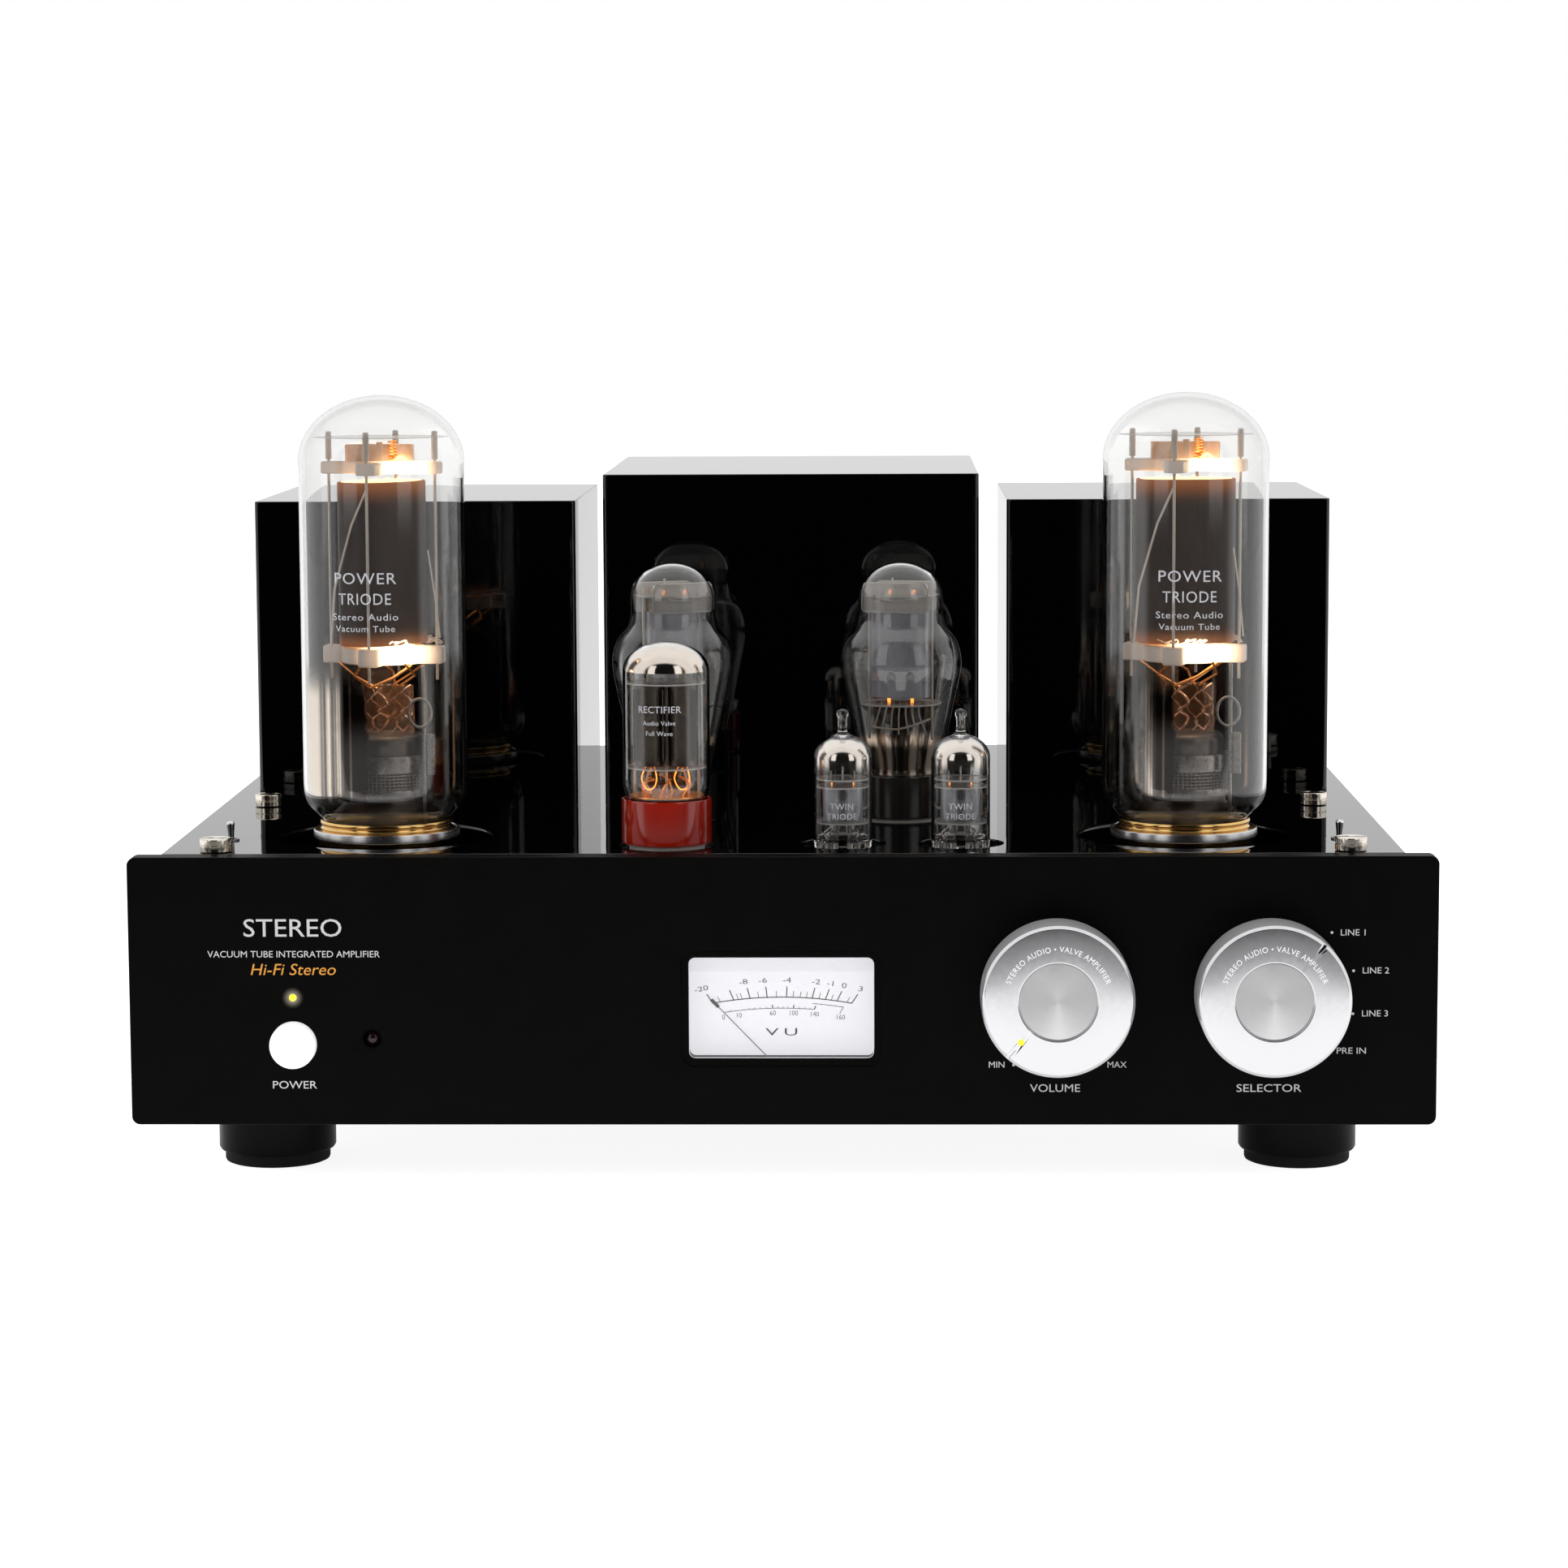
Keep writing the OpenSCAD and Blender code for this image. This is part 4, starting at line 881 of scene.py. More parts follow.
def make_meter():
    lo, hi = span("meter_dial")
    dial = Piece("meter_dial_plate", "dial_white", "chassis", "dial_cream", ["meter_dial"])
    dial.slab((rounded_rect(0, (lo[2] + hi[2]) / 2, hi[0] - lo[0], hi[2] - lo[2], 2.5),
        edge(DIAL_FRONT, hi[1], 0.15, back_bevel=0.1)), [(circle(0, PIVOT_Z, 1.2, 32),
        [(0, DIAL_FRONT), (0, hi[1])])], flat_front)

    dark = Piece("meter_scale", "dial_print", "chassis", "dial_cream", merge=False,
        place=(0, DIAL_FRONT, 0))
    grey = Piece("meter_numbers", "dial_grey", "chassis", "dial_cream", merge=False,
        place=(0, DIAL_FRONT, 0))

    def line(piece, points, half):
        """A printed line: a flat band along points on the dial."""
        rings = []
        for i, (x, z) in enumerate(points):
            before, after = points[max(i - 1, 0)], points[min(i + 1, len(points) - 1)]
            along = Vector((after[0] - before[0], after[1] - before[1])).normalized()
            u, v = -along.y * half, along.x * half
            rings.append(piece.ring([(x + u, -0.03, z + v), (x - u, -0.03, z - v),
                (x - u, -0.01, z - v), (x + u, -0.01, z + v)]))
        for a, b in zip(rings, rings[1:]):
            piece.strip(a, b)
        piece.face(rings[0])
        piece.face(rings[-1])

    line(dark, [arc_point(x / 2) for x in range(-50, 51, 2)], 0.19)
    line(grey, [arc_point(x / 2, 4.0) for x in range(-41, 25, 2)], 0.12)
    line(grey, [arc_point(x, 1.9) for x in range(11, 23)], 0.12)
    line(grey, [arc_point(22, 1.9), arc_point(20.6, 4.6)], 0.12)
    labels = {-24.77: "-20", -17.25: "", -11.41: "-8", -5.29: "-6", 1.66: "-4", 10.83: "-2",
        15.56: "-1", 19.72: "0", 25.0: "3"}
    for x, label in labels.items():
        lean = radians(33 * x / 25)
        foot = arc_point(x)
        tip = (foot[0] + 3.9 * sin(lean), foot[1] + 3.9 * cos(lean))
        line(dark, [foot, tip], 0.19)
        if label:
            side = 0.9 if x > 0 else 0.2
            place = (foot[0] + 6.1 * sin(lean) + side - 1.0, foot[1] + 6.1 * cos(lean))
            turn = lean * 0.35

            def put(u, v, w, place=place, turn=turn):
                return (place[0] + u * cos(turn) + v * sin(turn), -w,
                    place[1] - u * sin(turn) + v * cos(turn))
            grey.words(label, 1.9, put, 1.5)
    for x in (-22, -15.6, -14.2, -8.3, -1.9, 4.0, 6.5, 8.7, 13.2, 17.6, 23.2):
        lean = radians(33 * x / 25)
        foot = arc_point(x)
        line(grey, [foot, (foot[0] + 2.2 * sin(lean), foot[1] + 2.2 * cos(lean))], 0.12)
    for x, label in ((-20.9, "0"), (-15.5, "10"), (-3.3, "60"), (4.1, "100"), (11.6, "140"),
            (20.9, "160")):
        foot = arc_point(x, 4.0)
        if label in ("60", "100", "140"):
            line(dark, [foot, (foot[0] + 0.04 * x, foot[1] + 1.3)], 0.19)
        grey.words(label, 1.8, on_face(x, foot[1] - 1.8), 0.92)
    for x in (-18.5, -11.7, -9.8, -7.8, -5.6, -1.5, 0.4, 2.2, 6.2, 8.2, 10.0):
        foot = arc_point(x, 4.0)
        line(grey, [foot, (foot[0], foot[1] + 0.7)], 0.1)
    dark.words("V", 2.8, on_face(-3.6, -64.9), 2.05)
    dark.words("U", 2.8, on_face(3.2, -64.9), 1.95)

    lens = Piece("meter_glass", "clear_lens", "chassis", replaces=["meter_lens"], weighted=True)
    lens.slab((rounded_rect(0, WINDOW_Z, WINDOW_W - 0.2, WINDOW_H - 0.2, 2.3),
        edge(lens_lo[1], lens_hi[1], 0.2, back_bevel=0.15)), [], flat_front)

    needle = Piece("meter_pointer", "needle_black", "needle", replaces=["meter_needle"],
        place=(0, 10.2, PIVOT_Z))
    turn = Matrix.Rotation(radians(NEEDLE_REST), 3, "Y")
    needle.box((-0.16, 0.4, -1.0), (0.16, 0.72, 35.0), 0.05, turn)
    needle.box((-0.62, 0.45, 32.6), (0.62, 0.68, 36.4), 0.05, turn)
    needle.lathe([(0, -10), (0.8, -10), (0.8, -1.2), (2.6, -1.2), (2.6, -0.2), (2.3, 0), (0, 0)],
        48, axis="y")


make_meter()


# ---------------------------------------------------------------- deck and covers
deck_lo, deck_hi = span("deck_plate")
SIDES = ("left", "right")
TOGGLE_D, WELL_R = 47.0, 38.5


def make_deck():
    def places(*nodes):
        return [middle(node)[:2] for node in nodes]

    wells = places("left_power_valve_glass", "right_power_valve_glass")
    octals = places("rectifier_glass", "left_driver_glass", "right_driver_glass")
    novals = places("left_input_valve_glass", "right_input_valve_glass")
    caps = places(*(f"{side}_{end}_trim_cap" for side in SIDES for end in ("front", "rear")))
    toggles = places("left_toggle_lever", "right_toggle_lever")
    deck = Piece("deck_top", "gloss_black", "chassis", replaces=["deck_plate"], weighted=True)
    thick = 3.0
    holes = [(circle(x, d, WELL_R, 160), edge(0, thick, 1.1, hole=True, back_bevel=0.1,
        steps=6)) for x, d in wells]
    for places, r, bevel in ((octals, 16.7, 0.5), (novals, 15.35, 0.6), (caps, 1.6, 0.15)):
        holes += [(circle(x, d, r), edge(0, thick, bevel, hole=True, back_bevel=0.1)) for x,
            d in places]
    holes += [(circle(x, TOGGLE_D, 3.0, 48), edge(0, thick, 0.2, hole=True, back_bevel=0.1)) for x,
        d in toggles]
    mid_d, depth = (deck_lo[1] + deck_hi[1]) / 2, deck_hi[1] - deck_lo[1]
    deck.slab((rounded_rect(0, mid_d, deck_hi[0] - deck_lo[0], depth, 0.5, 3),
        edge(0, thick, 0.5)), holes, flat_top)
    for x, d in wells:
        deck.lathe([(38.55, -3.02), (38.5, -42), (20, -42), (20, -44), (40.5, -44), (40.5, -3.02)],
            128, (x, d, 0), closed=True)


def make_cover(node):
    lo, hi = span(node)
    w, depth, h = hi[0] - lo[0], hi[1] - lo[1], hi[2]
    wall, bevel, steps = 1.6, 0.45, 4
    outline = rounded_rect((lo[0] + hi[0]) / 2, (lo[1] + hi[1]) / 2, w, depth, 2.5, 6)
    turn = [radians(90 * i / steps) for i in range(steps + 1)]
    rim = [(wall, -h + wall), (wall, 0), (0, 0), (0, -h + bevel)]
    rim += [(bevel * (1 - cos(a)), -h + bevel * (1 - sin(a))) for a in turn[1:]]
    cover = Piece(node + "_shell", "cover_black", "chassis", "gloss_black", [node], weighted=True)
    cover.slab((outline, rim), [], flat_top)


make_deck()
for cover_node in ("left_transformer_cover", "center_transformer_cover",
        "right_transformer_cover"):
    make_cover(cover_node)


# ---------------------------------------------------------------- power valves
def valve(name):
    """What declares a valve's pieces, and the height of its glass."""
    x, d = middle(name + "_glass")[:2]

    def piece(label, made, slot="valve_metal", replaces=None, **how):
        nodes = [f"{name}_{replaces}"] if replaces else ()
        return Piece(f"{name}_{label}", made, name, slot, nodes, place=(x, d, 0), **how)
    return piece, span(name + "_glass")[1][2]


def ellipse(a, b, turn, steps=96):
    """A flattened round outline, turned by an angle."""
    def loop(inset):
        points = []
        for i in range(steps):
            t = tau * i / steps
            u = (a - inset) * copysign(abs(cos(t)) ** 0.75, cos(t))
            v = (b - inset) * copysign(abs(sin(t)) ** 0.75, sin(t))
            points.append((u * cos(turn) - v * sin(turn), u * sin(turn) + v * cos(turn)))
        return points
    return loop


def envelope(piece, profile, made, wall, mirror_made, gap, low, high, sides=112):
    """A valve's glass, and the mirror on its inside between two heights. The profile is a
    function of how far it is drawn in."""
    glass = piece("envelope", made, "valve_glass", replaces="glass")
    glass.lathe(profile(0) + profile(wall)[::-1], sides, closed=True)
    mirror = piece("mirror", mirror_made)
    mirror.lathe([p for p in profile(gap) if low < p[1] < high], sides)


def valve_words(piece, r, turn, spacing, rows):
    """Lettering on a valve's glass: words, height of a capital, place and stretch."""
    prints = piece("lettering", "valve_print", "valve_glass", merge=False)
    for words, height, z, stretch in rows:
        prints.words(words, height, round_post(r, z, turn), stretch, spacing, 0.03)


POWER_R, POST_R, GRID_R = 30.2, 20, 15.9      # glass, posts and stem screen


def power_glass_profile(t, top):
    """The outline of a power valve's glass, drawn in by t."""
    r = POWER_R - t
    neck = [(23.1 - t, -18.0), (23.1 - t, 4.0), (23.3 - t, 6.6), (25.4 - t, 9.0 + t * 0.5),
        (28.2 - t, 11.8 + t * 0.6), (29.8 - t, 15.4 + t * 0.4), (r, 20.0)]
    return smooth_line(neck, 5) + [(r, 60.0), (r, 100.0)] + dome(r, top - 24.0, top - t, 20)


def make_power_valve(side):
    name = side + "_power_valve"
    piece, top = valve(name)
    frame_turn = radians(-9 if side == "left" else -16)
    anode_turn = radians(54 if side == "left" else 7)

    envelope(piece, lambda t: power_glass_profile(t, top), "valve_glass", 1.2, side + "_mirror",
        1.28, 4, 150, 128)

    base = piece("brass_base", "brass_gold", "brass_gold", replaces="base", weighted=True)
    base.lathe([(0, -27.5), (23.6, -27.5), (24.3, -26.8), (24.3, 3.6), (24.0, 3.8), (23.75, 4.2),
        (23.75, 4.7), (24.1, 5.0), (24.3, 5.5), (24.2, 6.1), (23.9, 6.5), (23.45, 6.5),
        (23.3, 6.1), (23.3, -24.5), (0, -24.5)], 128)
    for px in (-9.5, 9.5):
        for py in (-9.5, 9.5):
            base.lathe([(0, -39.5), (1.8, -39.5), (2.4, -38.9), (2.4, -27.4), (0, -27.4)], 32,
                (px, py, 0))

    posts = [frame_turn + radians(90 * k) for k in range(4)]
    metal = piece("rods", "rod_metal")
    for angle in posts:
        metal.tube([around(POST_R, angle, z) for z in (58, 90, 120, 147.5)], 0.55, 12)
        metal.tube([around(POST_R, angle, z) for z in (138.4, 140.5, 143.5, 147.2)], 1.15, 10,
            flat=0.75)
        metal.lathe([(0, 147.1), (1.1, 147.1), (1.1, 148.3), (0.7, 148.7), (0, 148.7)], 16,
            around(POST_R, angle, 0))
    front = [p for p in posts if sin(p) < -0.7][0]
    metal.tube([around(19, front, 129), around(19, front - 0.35, 115), around(21, front - 0.7, 92),
        around(21, front - 0.85, 71)], 0.42, 10)
    metal.tube([around(22, front + 1.1, 106), around(23, front + 1.2, 90),
        around(23.5, front + 1.3, 74)], 0.3, 8)

    spacer = piece("top_disc", "mica")
    spacer.disc(24.4, 146.4, 0.35)

    for z0, z1, reach, hub, made, label in ((133.2, 137.6, 22.2, 9.0, "upper_ceramic", "upper"),
            (64.0, 70.4, 22.4, 15.5, "lower_ceramic", "lower")):
        ceramic = piece(label + "_ceramic", made, "ceramic_white", merge=False)
        for k in range(2):
            arm = Matrix.Rotation(frame_turn + radians(90 * k), 3, "Z")
            ceramic.box((-reach, -3.6, z0 + 0.01 * k), (reach, 3.6, z1 - 0.01 * k), 0.5, arm)
        ceramic.disc(hub, z0 + 0.2, z1 - z0 - 0.4, bevel=0.5)

    anode = piece("anode", "graphite", weighted=True)
    half_w, half_t = 18.0, 11.5
    anode.sleeve(half_w, half_t, 1.3, [(0.3, 71.0), (0, 71.3), (0, 130.2), (0.3, 130.5)],
        anode_turn)
    # Painted glow of the filament's light on the anode's inside, at its top.
    hot = piece("hot_rim", "hot_rim")
    hot.sleeve(half_w - 1.4, half_t - 1.4, 1.6, [(0, 128.6), (0, 130.6)], anode_turn)

    filament = piece("filament", "filament")
    for k in range(4):
        u = -9 + 6 * k
        line = [around(u, anode_turn, z) for z in (72, 100, 131.5)]
        filament.tube(line, 0.45, 8)
    filament.tube([(5, -2.5, 138.2), (7.5, -3.5, 139.4), (9.5, -2.5, 138.0)], 0.5, 8)

    # The bracket carries a painted glow of the filament's light.
    bracket = piece("bracket", "hot_metal")
    bracket.box((-12.8, 1.2, 137.5), (12.0, 1.7, 143.9), 0.15)
    bracket.box((-12.8, -3.5, 137.5), (-12.3, 1.7, 143.9), 0.15)
    bracket.box((-1.4, -3.4, 137.5), (1.0, -2.9, 144.8), 0.15)
    bracket.box((11.5, -3.5, 137.5), (12.0, 1.7, 143.9), 0.15)
    spring = piece("copper_leads", "copper_lead", "copper_coil")
    turns, per_turn = 7, 14
    spring.tube([(4.4 + 1.6 * cos(tau * i / per_turn), -1.5 + 1.6 * sin(tau * i / per_turn),
        137.7 + 7.6 * i / (turns * per_turn)) for i in range(turns * per_turn)], 0.28, 6)
    for angle, spread in ((0.2, 0.5), (1.9, -0.5), (3.3, 0.5), (4.3, -0.6), (5.3, 0.7)):
        spring.tube([around(16.5, angle, 64.5), around(12, angle + spread, 59.5),
            around(5.5, angle + spread * 2, 55)], 0.42, 8)
    spring.tube([(11, -8, 63.8), (4, -9, 59), (-4.5, -7, 55.4)], 0.5, 8)

    wool = piece("wool", "lower_ceramic", "ceramic_white")
    for k in range(26):
        angle, r = k * 2.399, 9 + 10 * ((k * 0.618) % 1)
        start = Vector(around(r, angle, 70.6))
        wiggle = [start + Vector((2.6 * sin(1.7 * k + 1.9 * j), 2.6 * cos(2.3 * k + j),
            1.2 + 1.1 * sin(0.9 * k + 2.1 * j))) for j in range(7)]
        wool.tube(smooth_line([tuple(p) for p in wiggle], 4), 0.28, 6)

    pinch = piece("pinch", "pinch_glass", "valve_glass")
    pinch.tube([(1.5, 0, 37.5), (1.5, 0, 44), (1.3, 0, 50), (1.2, 0, 54.5), (1.2, 0, 55.8)], 9.4,
        32, flat=0.42)
    tangle = piece("pinch_wires", "pinch_wire", "copper_coil")
    for k in range(6):
        u = -5.4 + 2.7 * k
        knots = [(u + 1.9 * sin(1.3 * j * (1 + 0.37 * (k % 3)) + 2.1 * k),
            -1.1 + 1.7 * cos(1.7 * j + k), 38.6 + 2.45 * j) for j in range(8)]
        tangle.tube(smooth_line(knots, 4), 0.2 + 0.16 * (k % 3), 8)
    stem = piece("stem", "dark_metal")
    stem.lathe(smooth_line([(0, 38.5), (11, 38.2), (14.2, 36.5), (14.4, 31), (14.6, 20),
        (15.5, 12), (19.5, 7.5), (21.6, 4.5), (21.6, -10), (0, -10)], 5), 96)
    strap = piece("strap", "strap_metal", weighted=True)
    strap.lathe([(14.9, 24.4), (16.1, 24.4), (16.3, 24.7), (16.3, 30.3), (16.1, 30.6),
        (14.9, 30.6)], 96, closed=True)
    strap.lathe([(14.9, 15.2), (16.1, 15.2), (16.3, 15.5), (16.3, 17.9), (16.1, 18.2),
        (14.9, 18.2)], 96, closed=True)
    strap.tube([(15.6, -13.5, z) for z in (4, 30, 58, 64)], 0.7, 10)
    ring_centre = Vector((14.5, -16.5, 47))
    strap.tube([ring_centre + Vector((4.0 * cos(tau * i / 40), 0,
        5.2 * sin(tau * i / 40))) for i in range(40)], 0.55, 10, closed=True)
    grid = piece("grid", "strap_metal", merge=False)
    for z in (18.8, 20.0, 21.2, 22.4, 23.6):
        grid.tube([around(GRID_R, tau * i / 72, z) for i in range(72)], 0.3, 6, closed=True)
    for i in range(64):
        a = tau * i / 64
        grid.tube([around(GRID_R, a, 18.2), around(GRID_R, a, 24.5)], 0.3, 6)
    grid.box((16.6, -14.5, 24.0), (19.4, -10.5, 39.0), 0.3)

    shift = -3.5 if side == "left" else -0.5
    valve_words(piece, POWER_R, shift / POWER_R, 1.1, (("POWER", 4.2, 96.6, 1.1),
        ("TRIODE", 4.2, 89.2, 0.9), ("Stereo Audio", 2.5, 82.8, 1.2),
        ("Vacuum Tube", 2.3, 78.6, 1.15)))


def make_power_sockets():
    collars = Piece("power_socket_collar_rings", "collar_aluminium", "chassis",
        replaces=["power_socket_collars"], weighted=True)
    shells = Piece("power_socket_brass_shells", "brass_gold", "chassis",
        replaces=["power_socket_shells"], weighted=True)
    sockets = Piece("power_socket_ceramics", "ceramic_white", "chassis",
        replaces=["power_valve_sockets"], weighted=True)
    for side in SIDES:
        x, d = middle(side + "_power_valve_glass")[:2]
        collars.lathe([(25.35, 0), (26.5, 0), (26.8, 0.3), (26.8, 2.7), (26.55, 3.15), (26.2, 3.2),
            (25.95, 3.0), (25.8, 2.6), (25.6, 2.5), (25.35, 2.5)], 160, (x, d, 0), closed=True)
        shells.lathe([(24.38, -28), (25.3, -28), (25.3, 2.6), (25.1, 3.1), (24.7, 3.2),
            (24.4, 3.0)], 128, (x, d, 0), closed=True)
        sockets.lathe([(0, -42), (31.5, -42), (32, -41.5), (32, -28.6), (31.4, -28), (24.5, -28),
            (24.5, -28.4), (0, -28.4)], 96, (x, d, 0))


make_power_valve("left")
make_power_valve("right")
make_power_sockets()


# ---------------------------------------------------------------- octal valves
OCTAL_PINS, NOVAL_PINS = 8.73, 5.95     # radii of the pin circles


def octal_pins(base):
    low = -10.2
    for k in range(8):
        a = tau * k / 8
        base.lathe([(0, low), (0.8, low), (1.2, low + 0.5), (1.2, 2), (0, 2)], 24,
            around(OCTAL_PINS, a))
    base.lathe([(0, -12.2), (3.4, -12.2), (3.9, -11.6), (3.9, 2), (0, 2)], 40)


def octal_body(piece, made, slot_name):
    rim = 17.3                                  # height of the base's upper edge
    base = piece("moulded_base", made, slot_name, replaces="base", weighted=True)
    base.lathe([(0, 0.8), (15.5, 0.8), (16.1, 1.3), (16.3, 2.2), (16.3, rim - 0.6),
        (16.15, rim - 0.15), (15.8, rim), (15.3, rim - 0.1), (15.0, rim - 0.6), (14.8, 3), (0, 3)],
        128)
    octal_pins(base)


def spacer_rims(piece, rims):
    """The pale cut edges of a valve's mica spacers."""
    rim = piece("spacer_rims", "mica_edge")
    for r, z in rims:
        rim.lathe([(r - 0.32, z - 0.03), (r, z - 0.03), (r, z + 0.5), (r - 0.32, z + 0.5)], 72,
            closed=True)


def make_rectifier():
    piece, top = valve("rectifier")
    anode_xs = (-5.9, 5.9)
    r = 15.65

    def profile(t):
        return (smooth_line([(14.6 - t, 7.5), (14.6 - t, 17.0), (14.9 - t, 19.0), (r - t, 22.0),
            (r - t, 26.0)], 4) + [(r - t, 45.0)] + dome(r - t, top - 10.5, top - t, 18))

    envelope(piece, profile, "small_valve_glass", 1.0, "top_mirror", 1.06, 55, top)
    octal_body(piece, "base_red", "base_red")
    discs = piece("spacers", "mica")
    for z in (58.9, 28.4):
        discs.disc(14.0, z, 0.45, notches=20)
    spacer_rims(piece, ((14.3, 58.9), (14.3, 28.4)))
    anodes = piece("anodes", "dark_metal", merge=False)
    for u in anode_xs:
        anodes.sleeve(5.2, 6.4, 0.5, [(0.1, 29.2), (0, 29.3), (0, 58.0), (0.1, 58.1)], 0, 64, u)
        anodes.box((u - 5.3, -7.6, 31), (u - 4.9, 7.6, 57), 0.1)
        anodes.box((u + 4.9, -7.6, 31), (u + 5.3, 7.6, 57), 0.1)
    metal = piece("rods", "rod_metal")
    for u in (-11.6, 0, 11.6):
        metal.tube([(u, 0, 19), (u, 0, 40), (u, 0, 61.5)], 0.5, 10)
    for u in anode_xs:
        metal.tube([(u, 0, 58), (u, 0, 62)], 1.2, 12)
        metal.tube([(u * 1.4, -3, 19), (u * 1.2, -1, 24), (u, 0, 29)], 0.45, 8)
    heater = piece("heaters", "heater")
    for u in anode_xs:
        heater.tube(smooth_line([(u - 1.6, 0, 28.4), (u - 3.0, -2, 24.5), (u - 1.0, -5, 21.0),
            (u + 1.6, -5, 21.5), (u + 2.4, -2, 24.5), (u + 1.5, 0, 28.4)], 5), 0.24, 8)
        heater.tube([(u, 0, 28), (u, 0, 26.8)], 0.7, 12)
        heater.tube([(u - 0.5, 0, 59.4), (u + 0.5, 0, 60.2)], 0.35, 8)
    glow = piece("leads", "copper_lead", "copper_coil")
    glow.lathe([(0, 18.0), (13.2, 18.0), (13.2, 18.6), (0, 18.6)], 64)
    for k in range(6):
        a = tau * k / 6 + 0.3
        glow.tube(smooth_line([around(8, a, 18.4), around(9.5, a + 0.2, 22.5),
            around(6, a + 0.5, 24.5)], 5), 0.4, 8)
    valve_words(piece, r, -0.12, 1.05, (("RECTIFIER", 2.5, 50.4, 1.0),
        ("Audio Valve", 1.7, 45.6, 1.0), ("Full Wave", 1.7, 41.9, 1.0)))


def make_driver(side):
    piece, top = valve(side + "_driver")
    turn = radians(-14 if side == "right" else 30)
    spin = Matrix.Rotation(turn, 3, "Z")

    def turned(*point):
        return tuple(spin @ Vector(point))

    def profile(t):
        body = smooth_line([(14.6 - t, 10.0), (14.6 - t, 18.0), (15.3 - t, 22.0), (17.2 - t, 30.0),
            (20.6 - t, 46.0), (22.7 - t, 56.5), (22.7 - t, 62.0), (20.8 - t, 68.0),
            (17.2 - t, 72.6), (15.9 - t, 77.0), (15.9 - t, 83.0)], 5)
        return body + dome(15.9 - t, 83.5, top - t, 18)

    envelope(piece, profile, "small_valve_glass", 1.0, "low_mirror", 1.06, 15, 40)
    octal_body(piece, "base_black", "base_black")
    plates = piece("spacers", "mica", merge=False)
    plates.box((-12.3, -8, 78.6), (12.3, -7.5, 89.4), 0.2, spin)
    plates.box((-12.3, 7.5, 78.6), (12.3, 8, 89.4), 0.2, spin)
    plates.disc(14.0, 84.6, 0.4, notches=12)
    plates.disc(15.0, 43.6, 0.45, notches=20)
    spacer_rims(piece, ((14.3, 84.6), (15.3, 43.6)))
    frame_rims = piece("plate_rims", "mica_edge", merge=False)
    for side_d in (-8.2, 8.2):
        rim = [(u, w) for u, w in rounded_rect(0, 84.0, 24.6, 10.8, 1.6, 5)(0)]
        frame_rims.tube([turned(u, side_d, w) for u, w in rim], 0.26, 8, closed=True)
    frame_rims.tube([turned(u, -8.3, 83.0 + 0.02 * u * u) for u in range(-8, 9)], 0.4, 8)
    anode = piece("anode", "driver_anode", weighted=True, merge=False)
    anode.sleeve(11.6, 7.6, 0.6, [(0.2, 46.2), (0, 46.4), (0, 79.0), (0.2, 79.2)], turn)
    anode.sleeve(11.9, 7.9, 0.6, [(0, 52.0), (0, 52.8)], turn)
    metal = piece("rods", "rod_metal")
    for k in range(7):
        u = -9 + 3 * k
        metal.tube(smooth_line([turned(u * 0.8, -1, 44.0), turned(u * 0.9, -3, 39.0),
            turned(u * 1.15, -1 - 2 * (k % 2), 32.0)], 5), 0.34, 8)
    for u in (-12.2, 12.2):
        metal.tube([turned(u, 0, z) for z in (30, 50, 88)], 0.5, 10)
    metal.tube(smooth_line([(-11, -6, 35.4), (-2, -8.5, 34.6), (5, -8, 36.2), (11, -4, 38)], 5),
        0.4, 8)
    metal.tube([(-3, 0, 85), (-3, 0, 91)], 0.45, 8)
    heater = piece("heaters", "heater")
    for u in (-4.5, 4.5):
        heater.tube([turned(u, -0.5, 85.2), turned(u + 1.2, 0, 86.4)], 0.5, 8)
        heater.tube([turned(u, 0, z) for z in (43.5, 46.0)], 0.6, 8)


